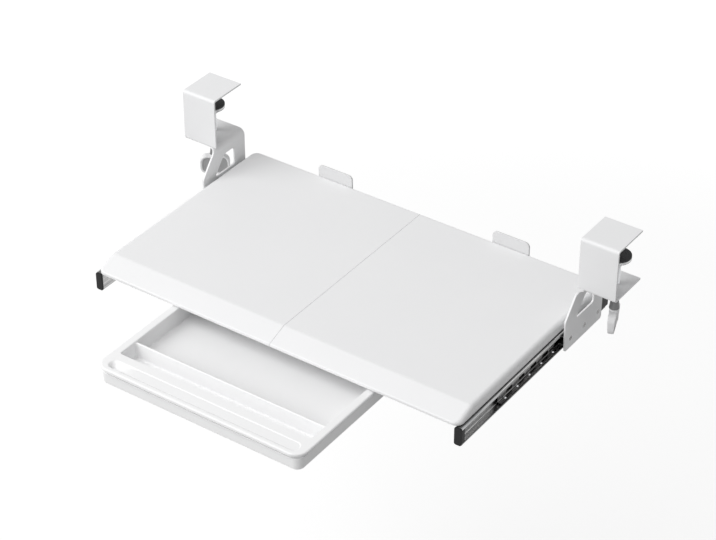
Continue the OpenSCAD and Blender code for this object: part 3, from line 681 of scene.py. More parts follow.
def spread_out(stations, low, high, step):
    """Sorted places from low to high that keep every station and leave no stretch longer than step."""
    inside = stations[(stations > low) & (stations < high)]
    keys = np.unique(np.round(np.concatenate([[low, high], inside]), 4))
    ends = np.append(0, np.cumsum(np.ceil(np.diff(keys) / step)))
    return np.interp(np.arange(ends[-1] + 1), ends, keys)


def holed_section(profile, sheet, y, hole_z, half, cut):
    """A bent sheet along Y, with holes in the upright stretch that crosses hole_z.

    Two rows of points follow the holes' edges at hole_z plus and minus half, which varies along y.
    """
    row = int(np.argmax((profile[:-1, 1] < hole_z) & (profile[1:, 1] > hole_z))) + 1
    skins = []
    for line in (profile, offset(profile, sheet)):
        edges = [(line[row - 1, 0], hole_z)] * 2
        skin = carried(np.insert(line, row, edges, 0), y, 1)
        skin[row, :, 2] -= half
        skin[row + 1, :, 2] += half
        skins.append(skin)
    keep = np.ones((len(profile) + 1, len(y) - 1), bool)
    keep[row] = ~cut
    return pressed_sheet(*skins, keep)


def cage_sheets():
    """Flanges and back, with bends, from the lower flange's edge round to the upper's."""
    (x0, y0, z0), (x1, y1, z1) = cage_low, cage_high
    section = rounded_line([(x1, z0), (x0, z0), (x0, z1), (x1, z1)], [cage_bend, cage_bend])
    y = spread_out(hole_stations(cage_window_y, cage_window), y0, y1, strip_step)
    half, cut = hole_rows(y, cage_window_y, **cage_window, apart=cage_window_apart)
    return [holed_section(section, cage_sheet, y, slide_z + cage_window_z, half, cut)]


def turned(profile, x, y, steps=32):
    """A profile of radius and height turned about an upright axis at x and y."""
    radius, z = np.array(profile, float).T[..., None]
    return round_grid(np.repeat(radius, steps, 1), z, x, y)


ball_low, ball_high = box_mm("right_slide_balls")
ball_r = (ball_high[0] - ball_low[0]) / 2
ball_x = (ball_low[0] + ball_high[0]) / 2
ball_reach = (ball_high[2] - ball_low[2]) / 2 - ball_r
ball_steps = 18
ball_arc = np.linspace(-pi / 2, pi / 2, 11)
ball = points_of(ball_r * np.cos(ball_arc), ball_r * np.sin(ball_arc))
ball_rows = [ball + (0, slide_z + s * ball_reach) for s in (-1, 1)]
balls = [rings(turned(row, ball_x, y, ball_steps)) for y in ball_y for row in ball_rows]

for side, hand in SIDES.items():
    solid(side + "_ball_cage", cage_sheets(), darker_zinc, hand)
    solid(side + "_slide_balls", balls, bright, hand, crease=80.0)

# Slide channels
# The outer member of each slide: zinc-plated steel rolled to a C, with beads along its edges that keep
# the balls in. Slots near its front and countersunk holes along its back are pierced before rolling.
channel_low, channel_high = box_mm("right_slide_channel")
channel_screw_low, channel_screw_high = box_mm("right_channel_screws")
channel_bend = 2.4
channel_lip = 2.2
lip_bend = 1.3
channel_slot = {"length": 12.0, "width": 4.0, "corner": 2.0}
slot_lead, slot_pitch = 16.0, 20.0
slot_y = channel_low[1] + slot_lead + slot_pitch * np.arange(2)
channel_head_r = 2.7
channel_hole = {"length": 5.5, "width": 5.5, "corner": 2.75}
channel_screw_y = np.linspace(channel_screw_low[1] + channel_head_r,
                              channel_screw_high[1] - channel_head_r, 4)
channel_rows_apart = 1.0
slot_touch = 1e-4


def channel_sheets():
    """The section runs from lip to lip round the back; slots and screw holes share its middle rows."""
    (x0, y0, z0), (x1, y1, z1) = channel_low, channel_high
    line = [(x1, z0 + channel_lip), (x1, z0), (x0, z0), (x0, z1), (x1, z1), (x1, z1 - channel_lip)]
    section = rounded_line(line, [lip_bend, channel_bend, channel_bend, lip_bend])
    stations = [hole_stations(slot_y, channel_slot), hole_stations(channel_screw_y, channel_hole)]
    y = spread_out(np.concatenate(stations), y0, y1, strip_step)
    slots, in_slot = hole_rows(y, slot_y, **channel_slot, apart=channel_rows_apart)
    holes, in_hole = hole_rows(y, channel_screw_y, **channel_hole, apart=channel_rows_apart)
    near_slot = np.abs(y[:, None] - slot_y).min(1) < channel_slot["length"] / 2 + slot_touch
    half = np.where(near_slot, slots, holes)
    return [holed_section(section, slide_sheet, y, slide_z, half, in_slot | in_hole)]


back_face = channel_low[0] + slide_sheet
cage_half = (cage_high[2] - cage_low[2]) / 2
# Weights of the painted shade: before the cage, along its track, below the top, and in the corner under the
# rim.
shade_thin, shade_track, shade_film, shade_corner = 0.25, 0.45, 0.55, 0.75


def painted_slide_shade(place):
    """Painted shade below the channel's top: darkest where the cage runs on its back, lighter before that.

    A painted shadow lies along the top too, in the corner under the tray's rim. Every border is a smooth
    step.
    """
    def step(signal, low, high):
        return signal.ramp(low * MM, high * MM)

    x, y, z = abs(place.axis("X")), place.axis("Y"), place.axis("Z")
    top = channel_high[2]
    on_back = step(x, back_face - 0.8, back_face - 0.2) * step(x, back_face + 1.0, back_face + 0.4)
    track = on_back * step(abs(z - slide_z * MM), cage_half + 1.0, cage_half - 0.4)
    shaded_below_top = step(z, top - 0.2, top - 0.9) * (shade_film + shade_track * track)
    thin = step(z, top - 2.4, top - 3.4)
    before = step(y, cage_low[1] - 2.0, cage_low[1] - 14.0)
    corner = step(x, channel_high[0] - 1.5, channel_high[0] - 2.4) * step(z, top - 0.9, top - 0.2)
    return shaded_below_top * (1 - before) + shade_thin * thin * before + shade_corner * corner


# Zinc for the channels, darkened inside by painted shade.
shaded_zinc = zinc_plate("zinc_steel_painted_shade", (0.32, 0.325, 0.335), (0.84, 0.835, 0.825), painted_slide_shade)
channel_screws = countersunk(
    "right_channel_screws", head_r=channel_head_r, shank_r=1.5, edge=(0.1, 0.1), tip=0.4, recess_r=1.6,
    recess_depth=0.7, places=channel_screw_y, z=slide_z)

for side, hand in SIDES.items():
    solid(side + "_slide_channel", channel_sheets(), shaded_zinc, hand)
    solid(side + "_channel_screws", channel_screws, zinc, hand)


# Front caps and rear bumpers
# Black nylon plugs are pushed into the ends of each channel, moulded with a fine spark-eroded texture.
# The cap closes the front, and the bumper stops the cage.
def rounded_loop(corners, radii, inset=0.0, steps=6):
    """Closed outline through corners, anticlockwise, with an arc at each, drawn in by inset."""
    return rounded_line([corners[-1], *corners, corners[0]], radii, steps, inset)[1:-1]


def box_loop(low, high):
    """Corners of a rectangle, anticlockwise from the lowest."""
    return [(low[0], low[1]), (high[0], low[1]), (high[0], high[1]), (low[0], high[1])]


def stacked(corners, radii, stations, axis, steps=6):
    """A stack of outlines along an axis: each station says how far in its outline is drawn, and its place."""
    loops = np.stack([rounded_loop(corners, radii, inset, steps) for inset, _ in stations])
    return np.insert(loops, axis, np.array(stations, float)[:, 1:], -1)


nylon = clouded_finish(
    "black_plastic", shine=0.22, tints=((0.006, 0.006, 0.0065), (0.014, 0.014, 0.0145)), cloud=(160.0, 3.0),
    rough=(0.42, 0.16), grain=(2400.0, 1.0), relief=(0.00015, 0.35))
cap_low, cap_high = box_mm("right_front_cap")
bumper_low, bumper_high = box_mm("right_rear_bumper")
cap_head = channel_low[1] - cap_low[1]
cap_corner = 2.4
cap_roll = 0.6
plug = box_loop(bumper_low[[0, 2]], bumper_high[[0, 2]])
plug_corner = 1.2
plug_root, plug_lead = 0.5, 0.8
bumper_lead, bumper_edge = 0.6, 0.4


def cap_sheets():
    """Head with a rolled front edge, and the plug behind it, drawn in at its end to enter the channel."""
    head = box_loop(cap_low[[0, 2]], cap_high[[0, 2]])
    y0, y1, y2 = cap_low[1], cap_low[1] + cap_head, cap_high[1]
    head_line = [(cap_roll, y0), (cap_roll / 3, y0 + cap_roll / 3), (0, y0 + cap_roll), (0, y1)]
    plug_line = [(0, y1 - plug_root), (0, y2 - plug_lead), (plug_lead, y2)]
    return [rings(stacked(head, cap_corner, head_line, 1)), rings(stacked(plug, plug_corner, plug_line, 1))]


def bumper_sheet():
    """A plug as well, drawn in at both ends."""
    y0, y1 = bumper_low[1], bumper_high[1]
    line = [(bumper_lead, y0), (0, y0 + bumper_lead), (0, y1 - bumper_edge), (bumper_edge, y1)]
    return rings(stacked(plug, plug_corner, line, 1))


# Behind the side plate the rear bumper's black also paints the shade at the slide's rear end.
for side, hand in SIDES.items():
    solid(side + "_front_cap", cap_sheets(), nylon, hand)
    solid(side + "_rear_bumper", [bumper_sheet()], nylon, hand)

# Slide hangers
# A steel angle on each side, powder coated white. Its flat leg is screwed up into the tray's bosses,
# and the channel is screwed to its upright leg.
hanger_low, hanger_high = box_mm("right_slide_hanger")
hanger_sheet = 2.0
hanger_bend = 3.5
pan_head_r, pan_head_h = 3.0, 1.4
pan_dome = [(2.2, 0.03), (2.65, 0.25), (2.9, 0.6), (pan_head_r, 1.0)]
pan_recess = (1.7, 0.9)
pan_shank_r = 1.5
pan_tip = 0.6


def pan_screws(node, places):
    """Pan-head screws driven upwards, from the foot of the node's box to its top."""
    low, high = box_mm(node)
    length = high[2] - low[2]
    screw = cross_screw(
        [*pan_dome, (pan_head_r, pan_head_h), (pan_shank_r, pan_head_h), (pan_shank_r, length - pan_tip),
         (pan_shank_r - pan_tip, length)], *pan_recess)
    return [rings(screw + (x, y, low[2])) for x, y in places]


def screw_row(node, count=3):
    """Places of a row of screws along Y, from the box of their node and the radius of a head."""
    low, high = box_mm(node)
    return points_of((low[0] + high[0]) / 2, np.linspace(low[1] + pan_head_r, high[1] - pan_head_r, count))


def hanger_strip():
    """An L of two legs and a bend, carried along Y."""
    (x0, y0, z0), (x1, y1, z1) = hanger_low, hanger_high
    section = rounded_line([(x1, z0), (x1, z1), (x0, z1)], [hanger_bend])
    return bent_strip(section, -hanger_sheet, np.linspace(y0, y1, 30))


hanger_screw_places = screw_row("right_hanger_screws")
hanger_screws = pan_screws("right_hanger_screws", hanger_screw_places)

for side, hand in SIDES.items():
    solid(side + "_slide_hanger", [hanger_strip()], white_coat, hand, bevel=coat_bevel)
    solid(side + "_hanger_screws", hanger_screws, zinc, hand)


# Tray halves
# Two injection-moulded shells in satin white plastic meet at a seam down the middle. The top slopes down
# to a thin front lip, the edges are rolled over, and ribs and screw bosses stand underneath.
def white_abs(name, *tints):
    """White moulded plastic: a fine spark-eroded grain, with faint clouds in gloss and in colour."""
    return clouded_finish(name, shine=0.42, tints=tints, cloud=(9.0, 3.0), gloss=(60.0, 3.0),
                          rough=(0.40, 0.16), grain=(1900.0, 2.0), relief=(0.0002, 0.28))


white_plastic = white_abs("white_plastic", (0.848, 0.850, 0.858), (0.880, 0.880, 0.884))
plastic_crease = 40.0
tray_low, tray_high = box_mm("right_tray_half")
tray_rim = tray_high[2] - tray_low[2]
tray_wall = 3.0
tray_corner = 10.0
nose_start = -204.0
nose_lip = 4.0
nose_fall = (tray_rim - nose_lip) / (nose_start - tray_low[1])
crease_half = 2.0
lip_roll, side_roll, rear_roll = 1.5, 5.0, 3.0
foot_edge, wall_edge = 0.5, 0.4
rib_foot = -8.0
rib_t = 2.0
rib_corner, rib_draft, rib_edge = 0.6, 0.5, 0.3
root_bite, wall_bite = 1.0, 0.5
rib_rear_gap = 28.5
rib_rows = np.linspace(nose_start, tray_high[1] - tray_wall - rib_rear_gap, 4)
rib_columns = (tray_low[0], 190.0)
boss_r = 4.0
bar_screw_x = (20.0, 85.0)
bar_y = [box_mm(end + "_joint_bar")[:, 1].mean() for end in ("front", "rear")]
runner_screw_places = screw_row("right_runner_screws")


def patch(grid):
    """Faces of an open grid of points."""
    index = np.arange(grid.shape[0] * grid.shape[1]).reshape(grid.shape[:2])
    quads = np.stack([index[:-1, :-1], index[1:, :-1], index[1:, 1:], index[:-1, 1:]], -1)
    return grid.reshape(-1, 3), [quads.reshape(-1, 4)]


def nose(y):
    """How far the top has sloped down at y: a plane from the crease to the lip.

    Near the crease a parabola that touches both planes takes the corner off.
    """
    past = nose_start - y
    bend = (past + crease_half) ** 2 / (4 * crease_half)
    return nose_fall * np.where(np.abs(past) < crease_half, bend, np.maximum(past, 0))


def tray_skin():
    """Top and underside as functions of the way round the edge and the distance in from it.

    The edge runs from the seam along the front, round the corner, along the side and back along the rear.
    Every point is a core point plus a spoke along the edge's normal, as long as the corner's radius less
    the distance in. Beyond the corner's radius both faces are plain grids.
    """
    seam, front, foot = tray_low
    side, rear, _ = tray_high
    x = np.linspace(seam, side - tray_corner, 40)
    y = np.concatenate([np.linspace(front + tray_corner, nose_start - crease_half, 5)[:-1],
                        np.linspace(nose_start - crease_half, nose_start + crease_half, 7)[:-1],
                        np.linspace(nose_start + crease_half, rear - tray_corner, 40)])
    turn = np.linspace(0, pi / 2, 12)[1:-1]
    nx, ny, nt = len(x), len(y), len(turn)
    core_x = np.concatenate([x, np.full(nt + ny + nt, side - tray_corner), x[::-1]])
    core_y = np.concatenate([np.full(nx + nt, y[0]), y, np.full(nt + nx, y[-1])])
    heading = np.concatenate([np.full(nx, -pi / 2), turn - pi / 2, np.zeros(ny), turn, np.full(nx, pi / 2)])
    blend = np.sin(turn) ** 2
    roll = np.concatenate([np.full(nx, lip_roll), lip_roll + (side_roll - lip_roll) * blend,
                           np.full(ny, side_roll), side_roll + (rear_roll - side_roll) * blend,
                           np.full(nx, rear_roll)])

    def edge(inset, height):
        px = core_x + (tray_corner - inset) * np.cos(heading)
        py = core_y + (tray_corner - inset) * np.sin(heading)
        return points_of(px, py, height(py))

    def ceiling_at(py):
        return -nose(py) - tray_wall

    top = [edge(foot_edge, lambda py: foot), edge(0.0, lambda py: foot + foot_edge)]
    top += [edge(roll * (1 - np.cos(a)), lambda py: -nose(py) - roll * (1 - np.sin(a)))
            for a in np.linspace(0, pi / 2, 8)]
    top += [edge(roll + (tray_corner - roll) * s, lambda py: -nose(py)) for s in np.linspace(0, 1, 9)[1:]]
    under = [edge(inset, lambda py: foot) for inset in (foot_edge, tray_wall - wall_edge)]
    under += [edge(tray_wall, lambda py: np.minimum(foot + wall_edge, ceiling_at(py)))]
    insets = np.linspace(tray_wall, tray_corner, len(top) - len(under))
    under += [edge(inset, ceiling_at) for inset in insets]
    top, under = np.stack(top), np.stack(under)
    gy, gx = np.meshgrid(y, x, indexing="ij")
    plain = points_of(gx, gy, -nose(gy))
    ceiling = plain - (0, 0, tray_wall)
    seams = [np.stack([top[:, k], under[:, k]], 1) for k in (0, -1)]
    seams += [np.stack([plain[:, 0], ceiling[:, 0]], 1)]
    return [patch(grid) for grid in (top, under, plain, ceiling, *seams)]


def rib(x0, x1, y0, y1):
    """A rib under the top, with a little draft: narrower at its foot than at its root."""
    stations = [(0, root_bite - tray_wall), (rib_draft / 2, rib_foot + rib_edge), (rib_draft, rib_foot)]
    return rings(stacked(box_loop((x0, y0), (x1, y1)), rib_corner, stations, 2))


def tray_sheets():
    """The skin, with ribs that end in its walls, and a turned boss with a flared root over each screw."""
    inside, rear, _ = tray_high - tray_wall + wall_bite
    ribs = [rib(tray_low[0], inside, y, y + rib_t) for y in rib_rows]
    ribs += [rib(x, x + rib_t, nose_start, rear) for x in rib_columns]
    places = [*hanger_screw_places, *runner_screw_places, *[(x, y) for x in bar_screw_x for y in bar_y]]
    root = root_bite - tray_wall
    boss = [(0.0, root), (boss_r + 0.6, root), (boss_r + 0.1, -tray_wall - 0.8),
            (boss_r, rib_foot + rib_edge), (boss_r - rib_edge, rib_foot), (0.0, rib_foot)]
    return tray_skin() + ribs + [rings(turned(boss, x, y, 20)) for x, y in places]


pair("tray_half", tray_sheets(), white_plastic, crease=plastic_crease)

# Keyboard stops
# A small tab of the same plastic stands up from the rear edge of each half; its colour is greyer, which
# paints the shade the desk casts on it.
# It is pushed in by two round pegs.
stop_low, stop_high = box_mm("right_keyboard_stop")
stop_t = 2.5
stop_foot_corner, stop_corner = 1.0, 6.0
stop_roll = 0.7
peg_r = 2.0
peg_apart = 28.0
peg_z = -6.5
peg_edge, peg_root = 0.5, 0.5
# Greyer tints than the tray's: painted shade from the desk above the rear edge.
stop_shaded_white = white_abs("white_plastic_stops_painted_shade", (0.70, 0.702, 0.708), (0.735, 0.735, 0.739))


def rolled(radius, face, way, steps=4):
    """Stations over a rounded edge, from a face to the side that goes one way from it: a quarter circle."""
    turn = np.linspace(pi / 2, 0, steps)
    return points_of(radius * (1 - np.cos(turn)), face + way * radius * (1 - np.sin(turn)))


def stop_sheets():
    """The tab is a rounded outline carried front to back with rolled edges; the pegs are round."""
    y0, y1 = stop_high[1] - stop_t, stop_high[1]
    tab = box_loop(stop_low[[0, 2]], stop_high[[0, 2]])
    edges = np.concatenate([rolled(stop_roll, y0, 1), rolled(stop_roll, y1, -1)[::-1]])
    middle = (stop_low[0] + stop_high[0]) / 2
    sheets = [rings(stacked(tab, [stop_foot_corner] * 2 + [stop_corner] * 2, edges, 1))]
    peg_stations = [(peg_edge, stop_low[1]), (0, stop_low[1] + peg_edge), (0, y0 + peg_root)]
    for x in (middle - peg_apart / 2, middle + peg_apart / 2):
        peg = box_loop((x - peg_r, peg_z - peg_r), (x + peg_r, peg_z + peg_r))
        sheets.append(rings(stacked(peg, peg_r, peg_stations, 1)))
    return sheets


pair("keyboard_stop", stop_sheets(), stop_shaded_white)

# Joint bars
# Two flat bars of zinc-plated steel cross the seam under the tray and pull its halves together.
# Four pan-head screws hold each bar.
bar_corner = 3.0
bar_roll = 0.3

for end in ("front", "rear"):
    low, high = box_mm(end + "_joint_bar")
    edges = [(bar_roll, low[2]), (0, low[2] + bar_roll), (0, high[2] - bar_roll), (bar_roll, high[2])]
    solid(end + "_joint_bar", [rings(stacked(box_loop(low, high), bar_corner, edges, 2))], zinc)
    places = [(s * x, (low[1] + high[1]) / 2) for s in SIDES.values() for x in bar_screw_x]
    solid(end + "_joint_screws", pan_screws(end + "_joint_screws", places), zinc)

# Drawer runners
# White steel strips bent to a Z and screwed up into the tray: the lower lip carries the drawer's rim.
# The front end is cut down to clear the tray's sloping edge.
runner_low, runner_high = box_mm("right_drawer_runner")
runner_sheet = 2.0
runner_wall_x = 141.6
runner_bend, runner_flange_bend = 2.4, 1.0
cut_slack = 0.1


def runner_strip():
    """A Z of lip, wall and flange carried along Y; the flange's rows are left out along the front end."""
    (x0, y0, z0), (x1, y1, z1) = runner_low, runner_high
    flange = z1 - runner_sheet
    corners = [(x0, z0), (runner_wall_x, z0), (runner_wall_x, flange), (x1, flange)]
    line = rounded_line(corners, [runner_bend, runner_flange_bend])
    cut = int(np.argmax(line[:, 1] > -tray_rim))
    line = np.insert(line, cut, (runner_wall_x, -tray_rim), 0)
    y = np.unique(np.concatenate([np.linspace(y0, nose_start, 5), np.linspace(nose_start, y1, 30)]))
    keep = np.ones((len(line) - 1, len(y) - 1), bool)
    keep[cut:, y[1:] < nose_start + cut_slack] = False
    return bent_strip(line, -runner_sheet, y, keep=keep)


runner_screws = pan_screws("right_runner_screws", runner_screw_places)

for side, hand in SIDES.items():
    solid(side + "_drawer_runner", [runner_strip()], white_coat, hand, bevel=coat_bevel)
    solid(side + "_runner_screws", runner_screws, zinc, hand)

# Drawer
# One deep moulding in the same plastic as the tray, in a lighter tint that paints the brighter light on the
# drawer. A rounded rim runs all round, with a groove in its wide front ledge that ends in a finger scoop, and
# a low wall parts the narrow front bay from the main bay.
drawer_low, drawer_high = box_mm("drawer")
drawer_foot, drawer_top = drawer_low[2], drawer_high[2]
rim_corner, rim_rear_corner = 16.0, 5.0
rim_out, rim_front, rim_t = 3.5, 3.2, 3.0
rim_roll, rim_edge = 1.8, 0.6
body_corner = 9.0
lip_drop, lip_reach, lip_start = 1.4, 12.0, 3.0
slot_side = 0.3
slot_line = [(0.0, 6.0), (0.0, 5.5), (0.12, 5.25), (0.4, 5.1), (3.8, 5.1), (4.0, 4.9), (4.0, 0.3), (3.7, 0.0)]
foot_roll = 2.0
bay_half = 129.0
bay_front, bay_rear = -332.0, -135.5
bay_corner = 2.5
bay_edge = 0.8
floor_t = 2.5
bay_floor = drawer_foot + floor_t
floor_fillet = 1.5
bay_draft = 0.5
divider_y = (-306.0, -303.0)
divider_drop = 2.0
divider_bite, divider_end = 1.0, 10.0
divider_flare, flare_reach = 1.5, 2.5
groove_half, groove_y, groove_w, groove_depth = 129.0, -351.0, 16.0, 0.6
groove_closed = 0.985
scoop_depth, scoop_reach = 6.0, 13.0
groove_slope, scoop_slope = 0.2, 0.75
pocket_half, pocket_front, pocket_rear, pocket_top = 104.0, -355.5, -335.0, -20.0
pocket_corner = 4.0


def flat_face(loops):
    """A flat face bounded by its first loop, with the other loops as holes in it."""
    return np.concatenate(loops), [np.array(tessellate_polygon([loop.tolist() for loop in loops]))]


def drawer_ring(side_in, front_in, rear_in, z, front_r):
    """Outline of the drawer at a height, drawn in from the rim's box on each side."""
    low = (drawer_low[0] + side_in, drawer_low[1] + front_in)
    high = (drawer_high[0] - side_in, drawer_high[1] - rear_in)
    rear_r = rim_rear_corner - rear_in
    loop = rounded_loop(box_loop(low, high), [front_r, front_r, rear_r, rear_r], steps=12)
    return np.insert(loop, 2, z, -1)


def drawer_outside():
    """Rings from foot to rim, with rolled edges and a slot under the rim that is deepest in front.

    In front the rim hangs lower, by a square of the distance from it.
    """
    rim_foot = drawer_top - rim_t
    stations = [(rim_out + inset, rim_front + inset, inset, z, body_corner - inset)
                for inset, z in rolled(foot_roll, drawer_foot, 1, 5)]
    stations += [(rim_out + slot_side * inset, rim_front + inset, 0.0, rim_foot - drop, body_corner)
                 for inset, drop in slot_line]
    stations += [(inset, inset, 0.0, rim_foot + rise, rim_corner - inset)
                 for inset, rise in ((rim_edge, 0.0), (rim_edge / 4, rim_edge / 4), (0.0, rim_edge))]
    stations += [(inset, inset, inset, z, rim_corner - inset)
                 for inset, z in rolled(rim_roll, drawer_top, -1, 5)[::-1]]
    outside = np.stack([drawer_ring(*station) for station in stations])
    levels = (drawer_foot + lip_start, rim_foot - slot_line[0][1], rim_foot + rim_edge, drawer_top - rim_roll)
    hang = np.interp(outside[..., 2], levels, (0, 1, 1, 0))
    near = np.clip(1 - (outside[..., 1] - drawer_low[1]) / lip_reach, 0, 1)
    outside[..., 2] -= lip_drop * hang * near ** 2
    return outside


def finger_groove():
    """Rings of a long rounded outline, from its edge in to its middle line.

    It is sunk by a cosine of the share of the way in, deeper and with a longer slope at its left end, by a
    bell curve.
    """
    share = np.linspace(0, 1, 21)[:, None]
    middle = groove_half - groove_w / 2
    radius = groove_w / 2 * (1 - groove_closed * share)
    run = middle * (2 * np.linspace(0, 1, 30)[1:-1] ** 2 - 1)
    arc = np.linspace(-pi / 2, pi / 2, 17)
    core_x = np.concatenate([0 * arc - middle, run, 0 * arc + middle, run[::-1]])
    angle = np.concatenate([-arc[::-1] + pi, 0 * run - pi / 2, arc, 0 * run + pi / 2])
    x = core_x + radius * np.cos(angle)
    scoop = np.exp(-((x + middle) / scoop_reach) ** 2)
    slope = np.clip(share / (groove_slope + scoop_slope * scoop), 0, 1)
    sink = (groove_depth + scoop_depth * scoop) * (0.5 - 0.5 * np.cos(pi * slope))
    return points_of(x, groove_y + radius * np.sin(angle), drawer_top - sink)


def drawer_divider():
    """A section carried across the bay: a wall with a fillet at its foot and a rounded top.

    Near its ends it flares out by a square of the distance from the bay's sides.
    """
    end = np.linspace(bay_half - divider_end, bay_half + divider_bite, 12)
    x = np.concatenate([-end[::-1], end])[:, None]
    flare = np.clip(1 - (bay_half - np.abs(x)) / flare_reach, 0, 1) ** 2 * divider_flare
    wall_top = drawer_top - divider_drop
    half = (divider_y[1] - divider_y[0]) / 2
    fillet = [(3.4, -0.5), (3.0, 0.0), (1.4, 0.6), (0.6, 2.2)]
    crown = [(0.0, -1.2), (-0.3, -0.45), (-1.1, 0.0)]
    section = np.concatenate([np.array(fillet) + (half, bay_floor), np.array(crown) + (half, wall_top)])
    section = np.concatenate([section, section[::-1] * (-1, 1)])
    y = sum(divider_y) / 2 + section[:, 0] + np.sign(section[:, 0]) * flare
    return points_of(x, y, section[:, 1])


def drawer_sheets():
    """The outside, the flat top with bay and groove sunk in it, and the pocket under the ledge.

    The bay has a slanting edge. Its walls lean in by a draft and meet the floor in a quarter circle.
    """
    outside, groove = drawer_outside(), finger_groove()
    slant = bay_edge * np.cos(np.linspace(0, pi / 2, 6))
    fillet = rolled(floor_fillet, bay_floor, 1, 6)[::-1] + (bay_draft, 0)
    bay_line = np.concatenate([points_of(-slant, drawer_top - bay_edge + slant), fillet])
    bay = stacked(box_loop((-bay_half, bay_front), (bay_half, bay_rear)), bay_corner, bay_line, 2, 10)
    pocket_line = [(0, drawer_foot), (0.8, pocket_top - 1.5), (2.0, pocket_top)]
    pocket_loop = box_loop((-pocket_half, pocket_front), (pocket_half, pocket_rear))
    pocket = stacked(pocket_loop, pocket_corner, pocket_line, 2, 10)
    skins = [rings(grid, ends=False) for grid in (outside, bay, groove, pocket)]
    caps = [flat_face([hollow[-1]]) for hollow in (bay, groove, pocket)]
    flats = [flat_face([outside[-1], bay[0], groove[0]]), flat_face([outside[0], pocket[0]])]
    return [*skins, *caps, *flats, rings(drawer_divider())]


# Lighter tints than the tray's: painted light, for the brighter light in front where the drawer stands.
drawer_lit_white = white_abs("white_plastic_drawer_painted_light", (0.912, 0.914, 0.918), (0.934, 0.934, 0.937))
solid("drawer", drawer_sheets(), drawer_lit_white, crease=plastic_crease)

# Clamp screws
# An M8 screw of bright zinc-plated steel on each side, with a rolled thread.
# A plain journal is turned on its top for the pressure pad.
thread_r = 4.0
thread_pitch = 1.25
thread_depth = 0.62
thread_fullness = 1.6
thread_rows, thread_steps = 7, 24
runout = 1.2
journal_r, journal_chamfer = 3.0, 0.4
shoulder_z = 60.7
screw_low, screw_high = box_mm("right_clamp_screw")


def thread_sheet(x):
    """Radius of a right-hand thread: a rounded wave of height over pitch less the share of a turn.

    It runs out into a plain chamfer under the journal. Both screws have the same hand.
    """
    angle = np.linspace(0, tau, thread_steps, endpoint=False)
    z = np.arange(screw_low[2], shoulder_z, thread_pitch / thread_rows)[:, None]
    wave = np.tanh(thread_fullness * np.cos(tau * z / thread_pitch - angle)) / np.tanh(thread_fullness)
    radius = thread_r - thread_depth * (0.5 - 0.5 * wave)
    near_end = np.clip((shoulder_z - z) / runout, 0, 1)
    radius = np.minimum(radius, journal_r + (thread_r - journal_r) * near_end)
    tail = np.array([(journal_r, shoulder_z), (journal_r, screw_high[2] - journal_chamfer),
                     (journal_r - journal_chamfer, screw_high[2])])
    radius = np.concatenate([radius, np.repeat(tail[:, :1], thread_steps, 1)])
    return rings(round_grid(radius, np.concatenate([z, tail[:, 1:]]), x, screw_y))


for side, hand in SIDES.items():
    solid(side + "_clamp_screw", [thread_sheet(hand * screw_x)], bright, crease=60.0)

# Pressure pads
# A zinc-plated steel disc swivels on each screw's journal, and a grey rubber facing is glued on it.
# The facing is moulded with rings for grip.
pad_low, pad_high = box_mm("right_pressure_pad")
facing_low, facing_high = box_mm("right_pad_facing")
pad_r = (pad_high[0] - pad_low[0]) / 2
pad_edge = 0.6
pad_hub_r = 7.0
pad_disc_t = 4.0
pad_steps = 48
facing_edge = 0.9
facing_ring = 3.0
facing_groove = 0.4


def pad_profile():
    """Hub with a fillet up into a disc with rounded edges."""
    foot, disc, top = pad_low[2], pad_high[2] - pad_disc_t, pad_high[2]
    hub = [(0.0, foot), (pad_hub_r - 0.5, foot), (pad_hub_r, foot + 0.5), (pad_hub_r, disc - 1.4),
           (pad_hub_r + 0.4, disc - 0.4), (pad_hub_r + 1.4, disc)]
    return hub + [(pad_r - pad_edge, disc), (pad_r, disc + pad_edge), (pad_r, top - pad_edge),
                  (pad_r - pad_edge, top), (0.0, top)]


def facing_profile():
    """Rounded disc whose top has rings: its height is a cosine of the distance from the middle."""
    foot, top = facing_low[2], facing_high[2]
    r = np.linspace(pad_r - facing_edge, 0, 60)
    rounds = top - facing_groove * (0.5 - 0.5 * np.cos(tau * r / facing_ring))
    edge = [(0.0, foot), (pad_r, foot), (pad_r, top - facing_edge), (pad_r - 0.3, top - 0.4)]
    return np.concatenate([edge, points_of(r, rounds)])


pad = rings(turned(pad_profile(), screw_x, screw_y, pad_steps))
facing = rings(turned(facing_profile(), screw_x, screw_y, pad_steps))

for side, hand in SIDES.items():
    solid(side + "_pressure_pad", [pad], zinc, hand)
    solid(side + "_pad_facing", [facing], grey_rubber, hand)

# Knobs
# A flat white paddle is moulded over the foot of each screw, with a tapering hub and a sunk panel on both
# faces, which is greyer than its rim. A glossy collar of mid-grey plastic covers the joint.
collar_low, collar_high = box_mm("right_knob_collar")
collar_foot_r, collar_top_r = 6.1, 4.8
collar_steps = 40
knob_top, knob_foot = -1.0, -27.0
knob_half_w = 18.5
knob_corner = 9.0
knob_half_top, knob_half_foot = 4.75, 3.3
knob_web = 2.6
knob_turn = {"left": radians(-35.0), "right": radians(-70.0)}
knob_hub_r, knob_hub_foot_r, knob_hub_straight, knob_hub_h = 5.6, 3.3, 16.0, 24.0
panel_reach, panel_level = 0.6, 0.7


